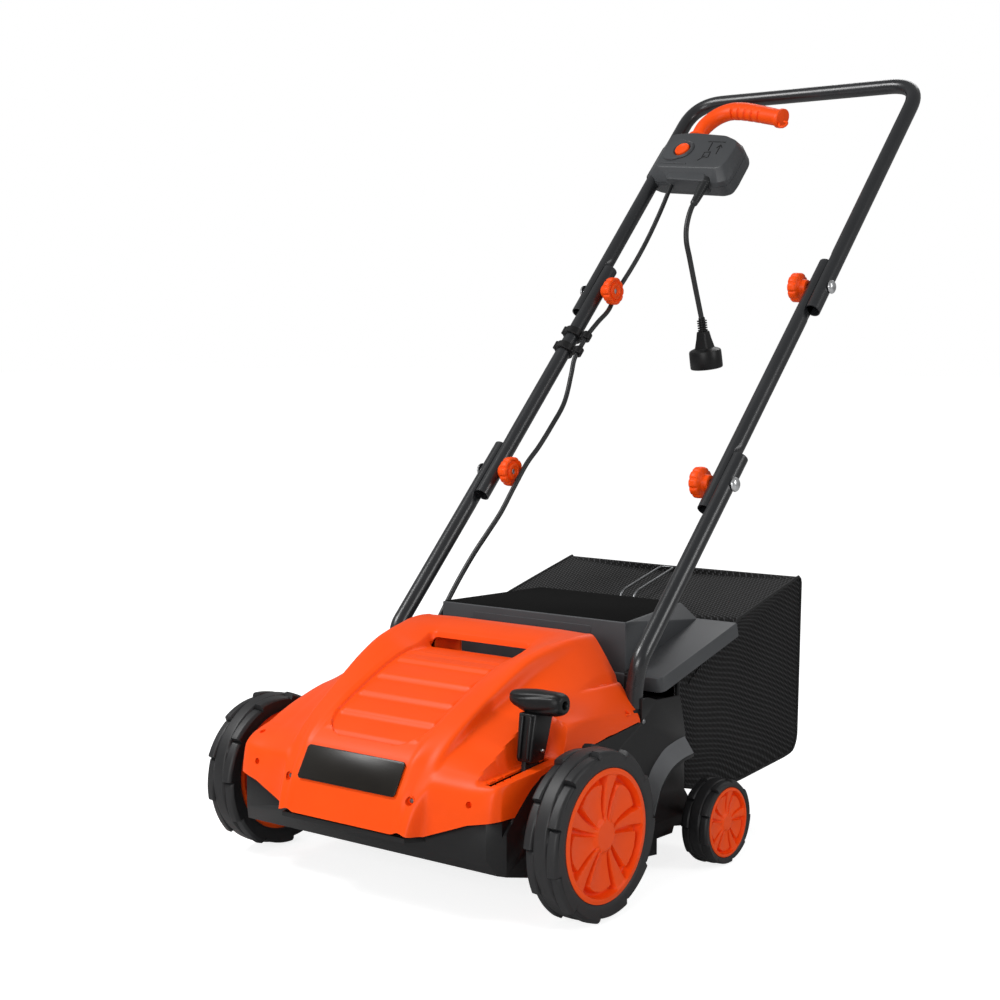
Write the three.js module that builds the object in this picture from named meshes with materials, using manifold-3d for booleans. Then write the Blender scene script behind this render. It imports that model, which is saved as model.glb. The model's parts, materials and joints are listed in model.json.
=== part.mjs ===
// Electric lawn dethatcher: millimetres, +Z up, -Y is the front, +X the machine's left side.
// Pieces are drawn with y = 0 at the front axle; the group then shifts them, so that the
// finished model's origin lies on the ground under the middle of its overall length.
import * as THREE from 'three';
import { mergeVertices } from 'three/addons/utils/BufferGeometryUtils.js';
import Module from 'manifold-3d';

const wasm = await Module();
wasm.setup();

// ---------------------------------------------------------------- driving dimensions
const GAP = 0.3;
const MID_LENGTH = 387.9;

const DECK_HALF = 205;

const FRONT_WHEEL = { y: 0, z: 100, radius: 100, inner: 232, outer: 278, rim: 76.5 };
const REAR_WHEEL = { y: 282.8, z: 54.4, radius: 54.4, inner: 224.7, outer: 262.6, rim: 43.5 };
const AXLE_RADIUS = 6;

const HEIGHT_PIVOT = { y: -42, z: 100 };
const LEVER_X = 185;
const STEM_HALF = 13;

const REEL = { y: 60, z: 75, tunnel: 78, rodCircle: 34, shaft: 8, disc: 42 };
const DISCS = { count: 11, first: -160, pitch: 32 };
const TUNNEL_HALF = 182;
const MOTOR = { y: 92, z: 190, radius: 36, shaft: 5 };
const BELT_X = { inner: -198, outer: -189 };
const PULLEY_SMALL = 11;
const PULLEY_LARGE = 30;

const TUBE_RADIUS = 11;
const TUBE_BORE = 9.4;
const SOCKET = { x: 191, y: 176, floor: 168 };
const TUBE_SCREW = { z: 192, bore: 2.7 };
const OUTER_TUBE_X = 198;
const MIDDLE_TUBE_X = 185;
const FOLD_PLANE_X = 191.5;
const LOWER_FOLD = { y: 373, z: 469 };
const UPPER_FOLD = { y: 619, z: 727 };
const HANDLE_TOP = { y: 907, z: 1034.5 };
const TUBE_LAP = 45;
const BOLT_RADIUS = 4;
const KNOB = { radius: 20.2, flute: 1.5, lobes: 10 };

const FLAP_HINGE = { y: 222, z: 236 };
const FLAP_HALF = 205;

const BAG_HALF = 196;
const BAG_WALL = 2;

// ---------------------------------------------------------------- materials
const paint = (color, roughness, metalness = 0) =>
  new THREE.MeshStandardMaterial({ color, roughness, metalness });

const ORANGE = paint(0xf4561d, 0.38);
const BLACK = paint(0x1b1b1c, 0.6);
const CHARCOAL = paint(0x2c2d2f, 0.65);
const LABEL = paint(0x231f1e, 0.35);
const TUBE_PAINT = paint(0x34363a, 0.4, 0.3);
const STEEL = paint(0xb9bcc0, 0.3, 0.9);
const DARK_STEEL = paint(0x55585c, 0.45, 0.8);
const RUBBER = paint(0x202021, 0.85);
const FABRIC = paint(0x262728, 0.95);

// ---------------------------------------------------------------- solids and booleans
function solid(geometry) {
  const bare = geometry.clone();
  bare.deleteAttribute('normal');
  bare.deleteAttribute('uv');
  const welded = mergeVertices(bare, 1e-4);
  return new wasm.Manifold(new wasm.Mesh({
    numProp: 3,
    vertProperties: new Float32Array(welded.attributes.position.array),
    triVerts: new Uint32Array(welded.index.array),
  }));
}

function geometryOf(body) {
  const mesh = body.getMesh();
  const geometry = new THREE.BufferGeometry();
  geometry.setAttribute('position', new THREE.BufferAttribute(new Float32Array(mesh.vertProperties), 3));
  geometry.setIndex(new THREE.BufferAttribute(new Uint32Array(mesh.triVerts), 1));
  geometry.computeVertexNormals();
  return geometry;
}

const union = (...bodies) => bodies.reduce((sum, body) => sum.add(body));
const cut = (body, ...tools) => tools.reduce((rest, tool) => rest.subtract(tool), body);

// ---------------------------------------------------------------- shape helpers
// Outlines run counter-clockwise and their holes clockwise.
function outline(points, holes = []) {
  const wound = (loop, clockwise) => {
    const vectors = loop.map(([u, v]) => new THREE.Vector2(u, v));
    return THREE.ShapeUtils.isClockWise(vectors) === clockwise ? vectors : vectors.reverse();
  };
  const shape = new THREE.Shape(wound(points, false));
  holes.forEach((hole) => shape.holes.push(new THREE.Path(wound(hole, true))));
  return shape;
}

function circle(radius, sides, [u, v] = [0, 0], turn = 0) {
  const step = (2 * Math.PI) / sides;
  return Array.from({ length: sides }, (_, i) => [
    u + radius * Math.cos(turn + i * step),
    v + radius * Math.sin(turn + i * step),
  ]);
}

// Arc of points about a centre, angles in degrees.
function arc([u, v], radius, from, to, count) {
  return Array.from({ length: count + 1 }, (_, i) => {
    const angle = THREE.MathUtils.degToRad(from + ((to - from) * i) / count);
    return [u + radius * Math.cos(angle), v + radius * Math.sin(angle)];
  });
}

// A (y, z) outline carried along X.
function prismX(points, x0, x1, holes = []) {
  const shape = outline(points, holes);
  const geometry = new THREE.ExtrudeGeometry(shape, { depth: x1 - x0, bevelEnabled: false });
  const toX = new THREE.Matrix4().makeBasis(
    new THREE.Vector3(0, 1, 0), new THREE.Vector3(0, 0, 1), new THREE.Vector3(1, 0, 0));
  return solid(geometry.applyMatrix4(toX).translate(x0, 0, 0));
}

// An (x, y) outline carried along Z.
function prismZ(points, z0, z1, holes = []) {
  const shape = outline(points, holes);
  const geometry = new THREE.ExtrudeGeometry(shape, { depth: z1 - z0, bevelEnabled: false });
  return solid(geometry.translate(0, 0, z0));
}

// An (x, z) outline carried from y0 back to y1.
function prismY(points, y0, y1) {
  const geometry = new THREE.ExtrudeGeometry(outline(points), { depth: y1 - y0, bevelEnabled: false });
  const toY = new THREE.Matrix4().makeBasis(
    new THREE.Vector3(1, 0, 0), new THREE.Vector3(0, 0, 1), new THREE.Vector3(0, -1, 0));
  return solid(geometry.applyMatrix4(toY).translate(0, y1, 0));
}

function block(x0, x1, y0, y1, z0, z1) {
  const geometry = new THREE.BoxGeometry(x1 - x0, y1 - y0, z1 - z0);
  return solid(geometry.translate((x0 + x1) / 2, (y0 + y1) / 2, (z0 + z1) / 2));
}

// A closed (radius, x) profile turned about an axle parallel to X, with a facet facing down.
function turnedX(profile, y, z, sides) {
  const closed = [...profile, profile[0]].map(([radius, x]) => new THREE.Vector2(radius, x));
  const geometry = new THREE.LatheGeometry(closed, sides, Math.PI / sides);
  return solid(geometry.rotateZ(-Math.PI / 2).translate(0, y, z));
}

const rodX = (radius, x0, x1, y, z, sides = 12) => prismX(circle(radius, sides, [y, z]), x0, x1);

function rodBetween(from, to, radius, sides = 8) {
  const start = new THREE.Vector3(...from);
  const axis = new THREE.Vector3(...to).sub(start);
  const geometry = new THREE.CylinderGeometry(radius, radius, axis.length(), sides);
  const along = axis.clone().normalize();
  const aim = new THREE.Quaternion().setFromUnitVectors(new THREE.Vector3(0, 1, 0), along);
  geometry.applyQuaternion(aim).translate(...start.addScaledVector(axis, 0.5).toArray());
  return solid(geometry);
}

// A path that keeps one ring of a sweep on each of its stations.
class StationPath extends THREE.Curve {
  constructor(stations) {
    super();
    this.stations = stations;
  }

  getPointAt(u, target = new THREE.Vector3()) {
    const last = this.stations.length - 1;
    const place = Math.min(Math.max(u, 0), 1) * last;
    const index = Math.min(Math.floor(place), last - 1);
    return target.lerpVectors(this.stations[index], this.stations[index + 1], place - index);
  }

  getPoint(t, target) {
    return this.getPointAt(t, target);
  }

  getTangentAt(u, target = new THREE.Vector3()) {
    const last = this.stations.length - 1;
    const index = Math.round(u * last);
    const here = this.stations[index];
    const before = this.stations[Math.max(index - 1, 0)];
    const after = this.stations[Math.min(index + 1, last)];
    const incoming = here.clone().sub(before).normalize();
    const outgoing = after.clone().sub(here).normalize();
    return target.copy(incoming).add(outgoing).normalize();
  }
}

// Corner points joined by straight runs with a rounded bend at each inner corner.
function bentPath(corners, bend, segments) {
  const points = corners.map((corner) => new THREE.Vector3(...corner));
  const stations = [points[0]];
  for (let i = 1; i < points.length - 1; i += 1) {
    const toBefore = points[i - 1].clone().sub(points[i]).normalize();
    const toAfter = points[i + 1].clone().sub(points[i]).normalize();
    const start = points[i].clone().addScaledVector(toBefore, bend);
    const end = points[i].clone().addScaledVector(toAfter, bend);
    const curve = new THREE.QuadraticBezierCurve3(start, points[i], end);
    stations.push(...curve.getPoints(segments));
  }
  stations.push(points[points.length - 1]);
  return stations;
}

const smoothPath = (corners, count) =>
  new THREE.CatmullRomCurve3(corners.map((corner) => new THREE.Vector3(...corner)), false, 'centripetal')
    .getPoints(count);

function sweep(stations, radius, sides, bore = 0) {
  const holes = bore > 0 ? [circle(bore, sides)] : [];
  const path = new StationPath(stations);
  const options = { steps: stations.length - 1, extrudePath: path, bevelEnabled: false };
  return solid(new THREE.ExtrudeGeometry(outline(circle(radius, sides), holes), options));
}

// The same piece for the other side of the machine.
function mirrorX(body) {
  const mesh = body.getMesh();
  const positions = Float32Array.from(mesh.vertProperties, (value, i) => (i % 3 === 0 ? -value : value));
  const triangles = Uint32Array.from(mesh.triVerts);
  for (let i = 0; i < triangles.length; i += 3) {
    [triangles[i], triangles[i + 1]] = [triangles[i + 1], triangles[i]];
  }
  return new wasm.Manifold(new wasm.Mesh({ numProp: 3, vertProperties: positions, triVerts: triangles }));
}

// ---------------------------------------------------------------- top cover
// One row across the cover for each station from the nose lip to the rear edge.
// panel: recessed middle panel; crest: outer edge of the raised ridge; foot: where the
// ridge meets the wing; wing: outer flat of the wing; side: top of the side wall.
const row = (panel, crest, foot, wing, side) => ({ panel, crest, foot, wing, side });

const COVER_ROWS = [
  row([-142, 98], [101, -141, 98], [112, -124, 97], [195, -111, 96], [-102, 96]),
  row([-137, 118], [103, -135, 118], [114, -121, 120], [195, -109.5, 120], [-100.5, 119]),
  row([-132.5, 135], [104, -127, 136], [115, -118.5, 141], [195, -107, 141], [-98, 139]),
  row([-121, 156], [107, -114, 157], [117, -113, 158.5], [196, -102, 157], [-94, 154]),
  row([-109, 176], [110, -100, 177], [118, -98, 173], [197, -90, 167], [-84, 163]),
  row([-95, 189], [112, -86, 191], [119, -84, 183], [197, -76, 173], [-72, 169]),
  row([-76, 202], [114, -66, 206], [120, -64, 194], [197, -58, 179], [-56, 175]),
  row([-45, 220], [116, -42, 221], [121, -42, 207], [198, -40, 187], [-40, 182]),
  row([-12, 237], [119, -12, 239], [124, -12, 222], [198, -12, 198], [-12, 193]),
  row([22, 253], [123, 22, 258], [129, 22, 239], [198, 22, 208], [22, 203]),
  row([56, 265], [126, 56, 274], [134, 56, 257], [198, 56, 213], [56, 208]),
  row([86, 271], [129, 86, 282.5], [138, 86, 268], [198, 86, 214], [86, 209]),
  row([108, 278], [131, 108, 287], [140, 108, 275], [199, 108, 213], [108, 208]),
  row([128, 287], [133, 128, 291], [142, 128, 281], [199, 128, 211], [128, 206]),
  row([150, 293], [134, 150, 293], [144, 150, 283], [199, 150, 209], [150, 204]),
  row([170, 294], [134, 170, 292.5], [144, 170, 282], [199, 170, 207], [170, 202]),
];

const PANEL_HALF = 80;
const RIDGE_RISE = 4.5;
const COVER_FLOOR = 60;
const COVER_WALL = 3;

// Points of one half row, from the middle of the cover to its side wall.
function halfRow({ panel, crest, foot, wing, side }) {
  const [crestX, crestY, crestZ] = crest;
  const [footX, footY, footZ] = foot;
  const [wingX, wingY, wingZ] = wing;
  const setBack = (x) => Math.max(0, (x - PANEL_HALF) / (crestX - PANEL_HALF));
  const onPanel = (x, rise) => new THREE.Vector3(
    x, panel[0] + (crestY - panel[0]) * setBack(x), panel[1] + rise);
  return [
    onPanel(0, 0),
    onPanel(PANEL_HALF - 2, 0),
    onPanel(PANEL_HALF + 6, Math.min(RIDGE_RISE, (crestZ - panel[1]) / 2 + RIDGE_RISE)),
    new THREE.Vector3(crestX - 8, crestY - 0.4, crestZ + 2.5),
    new THREE.Vector3(crestX, crestY, crestZ),
    new THREE.Vector3(footX, footY, footZ),
    new THREE.Vector3((footX + wingX) / 2, (footY + wingY) / 2, (footZ + wingZ) / 2 + 2),
    new THREE.Vector3(wingX, wingY, wingZ),
    new THREE.Vector3(DECK_HALF, side[0], side[1]),
  ];
}

function coverNet(inset) {
  const rows = COVER_ROWS.map(halfRow).map((half) => {
    const left = half.slice(1).reverse().map((p) => new THREE.Vector3(-p.x, p.y, p.z));
    return [...left, ...half];
  });
  if (inset === 0) {
    return rows;
  }
  const lastRow = rows.length - 1;
  const lastPoint = rows[0].length - 1;
  return rows.map((points, r) => points.map((point, c) => {
    const along = rows[Math.min(r + 1, lastRow)][c].clone().sub(rows[Math.max(r - 1, 0)][c]);
    const across = points[Math.min(c + 1, lastPoint)].clone().sub(points[Math.max(c - 1, 0)]);
    const normal = across.cross(along).normalize();
    const moved = point.clone().addScaledVector(normal, -inset);
    if (c === 0 || c === lastPoint) {
      moved.x = Math.sign(point.x) * (DECK_HALF - inset);
      moved.z = point.z - inset;
    }
    if (r === lastRow) {
      moved.y = point.y - inset;
    }
    return moved;
  }));
}

// Closed solid below a net of points, down to a flat floor.
function solidBelow(rows, floor) {
  const width = rows[0].length;
  const count = rows.length * width;
  const top = rows.flat();
  const bottom = top.map((p) => new THREE.Vector3(p.x, p.y, floor));
  const positions = [...top, ...bottom].flatMap((p) => p.toArray());
  const index = [];
  const quad = (a, b, c, d) => index.push(a, b, c, a, c, d);
  for (let r = 0; r < rows.length - 1; r += 1) {
    for (let c = 0; c < width - 1; c += 1) {
      const a = r * width + c;
      quad(a, a + 1, a + width + 1, a + width);
      quad(a + count, a + width + count, a + width + 1 + count, a + 1 + count);
    }
    const left = r * width;
    const right = left + width - 1;
    quad(left, left + width, left + width + count, left + count);
    quad(right, right + count, right + width + count, right + width);
  }
  for (let c = 0; c < width - 1; c += 1) {
    const front = c;
    const rear = (rows.length - 1) * width + c;
    quad(front, front + count, front + 1 + count, front + 1);
    quad(rear, rear + 1, rear + 1 + count, rear + count);
  }
  const geometry = new THREE.BufferGeometry();
  geometry.setAttribute('position', new THREE.BufferAttribute(new Float32Array(positions), 3));
  geometry.setIndex(index);
  return solid(geometry);
}

// Lower edge of the cover's side wall, front to rear, as (y, z).
const COVER_HEM = [
  [-102, 97], [-94, 105], [-82, 118], [-50, 147], [-27, 163], [30, 174], [82, 182], [170, 193],
];

// Hand opening in front of and right through below the grab bar, as (y, z).
const HAND_WELL = [
  [89, 310], [90, 262], [93, 240], [180, 238], [180, 270], [155, 272], [132, 280], [126, 310],
];
const HAND_WELL_SHELL = [
  [85.5, 310], [86.5, 262], [90, 236.5], [180, 234.5], [180, 273.5], [158.5, 274.5], [136, 283.5],
  [130, 310],
];
const HAND_WELL_HALF = 95;

// Below this (x, z) line the wings end and the deck's front corners show.
const CORNER_LINE = [[112, 97], [168, 117.5], [220, 128]];
const CORNER_REAR = -80;
const belowCorner = (drop, y1) => prismY(
  [...CORNER_LINE.map(([x, z]) => [x, z - drop]), [220, 40], [112, 40]], -160, y1);

// Scooped pocket around the height lever, and the slot in its floor.
const LEVER_POCKET = [[-125, 161.5], [-103, 162], [-27, 170], [16, 174], [28, 180], [34, 240], [-125, 240]];
const LEVER_POCKET_SHELL = [[-125, 158.5], [-27, 167], [17, 171], [31, 178], [37.5, 240], [-125, 240]];
const POCKET_X = { inner: 168, outer: 206 };
const SLOT = { half: 4.5, front: -98, rear: 8 };

const NOSE_SCREW = { x: 96, z: 136, recess: 5.2, head: 4.2 };

function makeCover() {
  const outside = cut(solidBelow(coverNet(0), COVER_FLOOR),
    prismX(HAND_WELL, -HAND_WELL_HALF, HAND_WELL_HALF),
    prismX(LEVER_POCKET, POCKET_X.inner, POCKET_X.outer));
  const inside = cut(solidBelow(coverNet(COVER_WALL), COVER_FLOOR - 5),
    prismX(HAND_WELL_SHELL, -HAND_WELL_HALF - COVER_WALL, HAND_WELL_HALF + COVER_WALL),
    prismX(LEVER_POCKET_SHELL, POCKET_X.inner - COVER_WALL, POCKET_X.outer));
  const belowHem = [...COVER_HEM, [180, 193], [180, 40], [-160, 40], [-160, 97]];
  const screwRecess = (x) =>
    rodBetween([x, -140, NOSE_SCREW.z], [x, -118, NOSE_SCREW.z], NOSE_SCREW.recess, 12);
  const corner = belowCorner(0, CORNER_REAR);
  const tubeNotch = (x) => prismZ(circle(TUBE_RADIUS + 1.6, 12, [x, 176]), 180, 320);
  return cut(outside,
    inside,
    prismX(belowHem, -220, 220),
    corner, mirrorX(corner),
    block(-201.6, 201.6, 150, 190, 150, 217.6),
    block(LEVER_X - SLOT.half, LEVER_X + SLOT.half, SLOT.front, SLOT.rear, 140, 190),
    tubeNotch(192), tubeNotch(-192), screwRecess(NOSE_SCREW.x), screwRecess(-NOSE_SCREW.x));
}

function makeLabelPlate() {
  const slope = Math.atan2(176 - 135, -109 + 132.5);
  const geometry = new THREE.ExtrudeGeometry(
    outline([[-74, -21], [-77, -18], [-77, 18], [-74, 21], [74, 21], [77, 18], [77, -18], [74, -21]]),
    { depth: 1.6, bevelEnabled: false });
  geometry.rotateX(slope).translate(0, -121.6, 155.6);
  const lift = new THREE.Vector3(0, -Math.sin(slope), Math.cos(slope)).multiplyScalar(1.2);
  return solid(geometry.translate(lift.x, lift.y, lift.z));
}

// ---------------------------------------------------------------- deck
// Side wall outline as (y, z): follows the cover hem, then the rear of the housing.
const SIDE_WALL = [
  [-98, 62], [-40, 48], [60, 33], [150, 25], [208, 20], [208, 40], [242, 40], [246, 48],
  [270, 44], [288, 44], [294, 52], [292, 62], [268, 92], [268, 128], [270, 161], [257, 212],
  [205, 214], [190, 219], [173, 220], [173, 192.4], [82, 181.4], [30, 173.4], [-27, 162.4],
  [-50, 146.4], [-82, 117.4], [-94, 104.4], [-103, 96], [-110, 95],
];

// Flared lip over the rear wheel: (y, z) where it leaves the wall, then its outer edge.
const FENDER = { wall: 204, edge: 222, thickness: 4 };
const FENDER_LINE = [
  [268, 158, 262, 140], [246, 155, 240, 137.5], [223, 149, 217, 131], [207, 139, 200, 120],
  [195, 129, 188, 107], [187, 117, 180, 91], [183, 106, 175, 78],
];

function makeFender() {
  const { wall, edge, thickness } = FENDER;
  const section = ([y, z, outerY, outerZ]) => [
    [wall, y, z], [edge, outerY, outerZ],
    [wall, y + 2, z - thickness], [edge, outerY + 2, outerZ - thickness],
  ];
  return union(...FENDER_LINE.slice(1).map((station, i) =>
    wasm.Manifold.hull([...section(FENDER_LINE[i]), ...section(station)])));
}

// Skin over the reel tunnel, rising to the roof of the outlet.
const tunnelOuter = [...arc([REEL.y, REEL.z], REEL.tunnel + 3.5, 200, 62, 9), [172, 208], [257, 206.5]];
const tunnelInner = [...arc([REEL.y, REEL.z], REEL.tunnel, 200, 62, 9), [174, 204], [257, 203]];

function makeDeck() {
  const plan = [
    [-205, 300], [-205, -90], [-190, -108], [-104, -111], [-97, -139], [97, -139], [104, -111],
    [190, -108], [205, -90], [205, 300],
  ];
  const planInner = [[-201, 320], [-201, -84], [-187, -94], [187, -94], [201, -84], [201, 320]];
  const walls = cut(prismZ(plan, 20, 220), prismZ(planInner, 10, 230)).intersect(prismX(
    SIDE_WALL.concat([[-139, 95.5], [-139, 90], [-112, 88]]), -DECK_HALF, DECK_HALF));
  const corner = cut(prismZ(plan, 90, 130), prismZ(planInner, 80, 140))
    .intersect(belowCorner(GAP, CORNER_REAR - GAP));
  const ledge = prismZ(
    [[-203, -55], [-203, -89], [-189, -106], [-104, -109], [-97, -138], [97, -138], [104, -109],
      [189, -106], [203, -89], [203, -55]], 90, 94);
  const roof = prismX([...tunnelOuter, ...tunnelInner.slice().reverse()], -203, 203);
  const outletFloor = prismX([[141, 52], [262, 90], [262, 94], [141, 56]], -203, 203);
  const reelBay = [...arc([REEL.y, REEL.z], REEL.tunnel + 2, 205, 62, 9), [173, 206], [250, 204],
    [250, 93], [142, 54], [100, 34], [0, 44]];
  const bearingHole = circle(16.3, 16, [REEL.y, REEL.z]);
  const endPlate = (x0, x1) => prismX(reelBay, x0, x1, [bearingHole]);
  const cradle = (x) => cut(
    prismX([[62, 140], [62, 186], [122, 186], [122, 160], [100, 143]], x, x + 6),
    rodX(MOTOR.radius + 1.2, x - 1, x + 7, MOTOR.y, MOTOR.z, 14));
  const axleHole = rodX(AXLE_RADIUS + GAP, -230, 230, HEIGHT_PIVOT.y, HEIGHT_PIVOT.z);
  const rearAxleHole = rodX(5 + GAP, -230, 230, REAR_WHEEL.y, REAR_WHEEL.z);
  const motorShaftHole = rodX(MOTOR.shaft + 1, -187, -150, MOTOR.y, MOTOR.z);
  const socket = (x) => prismZ(circle(TUBE_RADIUS + GAP, 16, [x, SOCKET.y]), SOCKET.floor, 240);
  const underHem = COVER_HEM.slice(1).map(([y, z]) => [y, z - 0.6]);
  const besideCover = [...underHem, [172.7, 192.4], [172.7, 260], [-94, 260]];
  const beltRoom = block(-200.9, -186, 14, 112, 36, 215);
  const socketBoss = (x0, x1) => block(x0, x1, 161, 191, 164, 207);
  const hingeLug = (x0, x1) => cut(
    prismX([[212, 204], [214, 240], [222, 244], [230, 240], [234, 204]], x0, x1),
    rodX(3 + GAP, x0 - 1, x1 + 1, FLAP_HINGE.y, FLAP_HINGE.z));
  return cut(
    union(walls, ledge, roof, outletFloor,
      endPlate(-186, -TUNNEL_HALF), endPlate(TUNNEL_HALF, 186),
      corner, mirrorX(corner), makeFender(), mirrorX(makeFender()),
      cradle(-110), cradle(20),
      socketBoss(176, 204), socketBoss(-204, -176),
      hingeLug(150, 158), hingeLug(-158, -150)),
    prismX(besideCover, 201.5, 215), prismX(besideCover, -215, -201.5), beltRoom,
    axleHole, rearAxleHole, motorShaftHole, socket(SOCKET.x), socket(-SOCKET.x),
    tubeScrewHole(), mirrorX(tubeScrewHole()));
}

function makeBeltCover() {
  const bay = [
    [18, 52], [18, 98], [72, 184], [78, 206], [106, 206], [112, 180], [102, 52], [80, 40], [40, 40],
  ];
  return prismX(bay, -187.8, -186.3, [
    circle(24, 16, [REEL.y, REEL.z]), circle(12, 12, [MOTOR.y, MOTOR.z]),
  ]);
}

// ---------------------------------------------------------------- drive and reel
function makeBelt() {
  const dy = REEL.y - MOTOR.y;
  const dz = REEL.z - MOTOR.z;
  const heading = THREE.MathUtils.radToDeg(Math.atan2(dz, dy));
  const spread = THREE.MathUtils.radToDeg(Math.acos((PULLEY_LARGE - PULLEY_SMALL) / Math.hypot(dy, dz)));
  const loop = (grow) => [
    ...arc([REEL.y, REEL.z], PULLEY_LARGE + grow, heading - 180 + spread, heading + 180 - spread, 12),
    ...arc([MOTOR.y, MOTOR.z], PULLEY_SMALL + grow, heading + 180 - spread, heading + 180 + spread, 8),
  ];
  return prismX(loop(2.6), BELT_X.inner + 1.5, BELT_X.outer - 1.5, [loop(GAP + 0.6)]);
}

function pulley(radius, bore, y, z) {
  const { inner, outer } = BELT_X;
  const profile = [
    [bore, inner], [radius + 4, inner], [radius, inner + 1.2], [radius, outer - 1.2], [radius + 4, outer],
    [bore, outer],
  ];
  return turnedX(profile, y, z, 16);
}

function makeMotorCan() {
  const can = turnedX([
    [9, -120], [MOTOR.radius - 5, -120], [MOTOR.radius, -116], [MOTOR.radius, 36], [MOTOR.radius - 5, 42],
    [9, 42], [9, 38], [MOTOR.radius - 4, 36], [MOTOR.radius - 4, -112], [9, -112],
  ], MOTOR.y, MOTOR.z, 16);
  const vents = [0, 60, 120].map((angle) => {
    const c = Math.cos(THREE.MathUtils.degToRad(angle));
    const s = Math.sin(THREE.MathUtils.degToRad(angle));
    const across = [[-60, -3], [60, -3], [60, 3], [-60, 3]].map(
      ([u, v]) => [MOTOR.y + u * c - v * s, MOTOR.z + u * s + v * c]);
    return prismX(across, 12, 30);
  });
  return cut(can, ...vents);
}

function makeMotorRotor() {
  const shaft = rodX(MOTOR.shaft, -199, 60, MOTOR.y, MOTOR.z, 8);
  const armature = rodX(24, -100, 5, MOTOR.y, MOTOR.z, 10);
  const fanDisc = rodX(30, 52, 54, MOTOR.y, MOTOR.z, 14);
  const blades = [0, 60, 120, 180, 240, 300].map((angle) => {
    const c = Math.cos(THREE.MathUtils.degToRad(angle));
    const s = Math.sin(THREE.MathUtils.degToRad(angle));
    const across = [[4, -1], [29, -1], [29, 1], [4, 1]].map(
      ([u, v]) => [MOTOR.y + u * c - v * s, MOTOR.z + u * s + v * c]);
    return prismX(across, 46, 53);
  });
  return union(shaft, armature, fanDisc, ...blades, pulley(PULLEY_SMALL, 4, MOTOR.y, MOTOR.z));
}

const RODS = [45, 135, 225, 315];
const rodCentre = (angle) => [
  REEL.y + REEL.rodCircle * Math.cos(THREE.MathUtils.degToRad(angle)),
  REEL.z + REEL.rodCircle * Math.sin(THREE.MathUtils.degToRad(angle)),
];

function makeSpool() {
  const holes = RODS.map((angle) => circle(4.4, 4, rodCentre(angle), Math.PI / 4));
  const discs = Array.from({ length: DISCS.count }, (_, i) => DISCS.first + DISCS.pitch * i).map(
    (x) => prismX(circle(REEL.disc, 12, [REEL.y, REEL.z]), x - 1, x + 1, holes));
  return union(rodX(REEL.shaft, -199, 190, REEL.y, REEL.z, 8), ...discs);
}

// One rod with a spring tine in every second bay between the discs.
function makeTineRod(angle, firstBay) {
  const [y, z] = rodCentre(angle);
  const outward = THREE.MathUtils.degToRad(angle + 8);
  const reach = 28;
  const parts = [rodX(2.6, -166, 166, y, z, 6)];
  for (let bay = firstBay; bay < DISCS.count - 1; bay += 2) {
    const x = DISCS.first + DISCS.pitch * (bay + 0.5);
    parts.push(rodX(5.6, x - 8, x + 8, y, z, 6));
    const tip = [y + reach * Math.cos(outward), z + reach * Math.sin(outward)];
    parts.push(rodBetween([x - 6.5, y, z], [x - 6.5, ...tip], 1.5, 3));
    parts.push(rodBetween([x + 6.5, y, z], [x + 6.5, ...tip], 1.5, 3));
  }
  return union(...parts);
}

function makeBearing(x0, x1) {
  return turnedX([[REEL.shaft + GAP, x0], [16, x0], [16, x1], [REEL.shaft + GAP, x1]], REEL.y, REEL.z, 20);
}

// ---------------------------------------------------------------- wheels, axles and height lever
function makeTyre({ y, z, radius, inner, outer, rim }, sides) {
  const bead = rim + GAP;
  const shoulder = radius * 0.06;
  const tread = radius / Math.cos(Math.PI / sides);
  return turnedX([
    [bead, inner + 2], [tread - shoulder, inner], [tread, inner + shoulder],
    [tread, outer - shoulder], [tread - shoulder, outer], [bead, outer - 2],
  ], y, z, sides);
}

function makeHub({ y, z, inner, outer, rim }, bore, sides) {
  const cap = turnedX([
    [bore, outer - 14], [rim * 0.88, outer - 14], [rim, inner + 4], [rim, outer], [rim * 0.9, outer],
    [rim * 0.86, outer - 9], [rim * 0.32, outer - 9], [rim * 0.3, outer - 4], [bore, outer - 4],
  ], y, z, sides);
  const sleeve = cut(rodX(bore + 4, inner + 1, outer - 12, y, z, 8), rodX(bore, inner, outer, y, z, 8));
  const rib = (angle, lean) => {
    const from = THREE.MathUtils.degToRad(angle);
    const to = THREE.MathUtils.degToRad(angle + lean);
    const side = (turn, radius, width) => {
      const c = Math.cos(turn);
      const s = Math.sin(turn);
      return [
        [y + radius * c - width * s, z + radius * s + width * c],
        [y + radius * c + width * s, z + radius * s - width * c],
      ];
    };
    const [a, b] = side(from, rim * 0.3, rim * 0.03);
    const [c, d] = side(to, rim * 0.88, rim * 0.055);
    return prismX([b, d, c, a], outer - 10, outer - 3.5);
  };
  const ribs = [0, 72, 144, 216, 288].map((angle) => rib(angle + 90, 22));
  return union(cap, sleeve, ...ribs);
}

function makeFrontAxle() {
  const { y, z } = HEIGHT_PIVOT;
  const shaft = rodX(AXLE_RADIUS, -212, 212, y, z);
  const crank = (x0, x1) => prismX(
    [...arc([y, z], 10, 90, 270, 5), ...arc([FRONT_WHEEL.y, FRONT_WHEEL.z], 9, -90, 90, 5)], x0, x1);
  const stub = (x0, x1) => rodX(5.5, x0, x1, FRONT_WHEEL.y, FRONT_WHEEL.z);
  return union(shaft, crank(208, 216), crank(-216, -208), stub(212, 273), stub(-273, -212));
}

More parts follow.
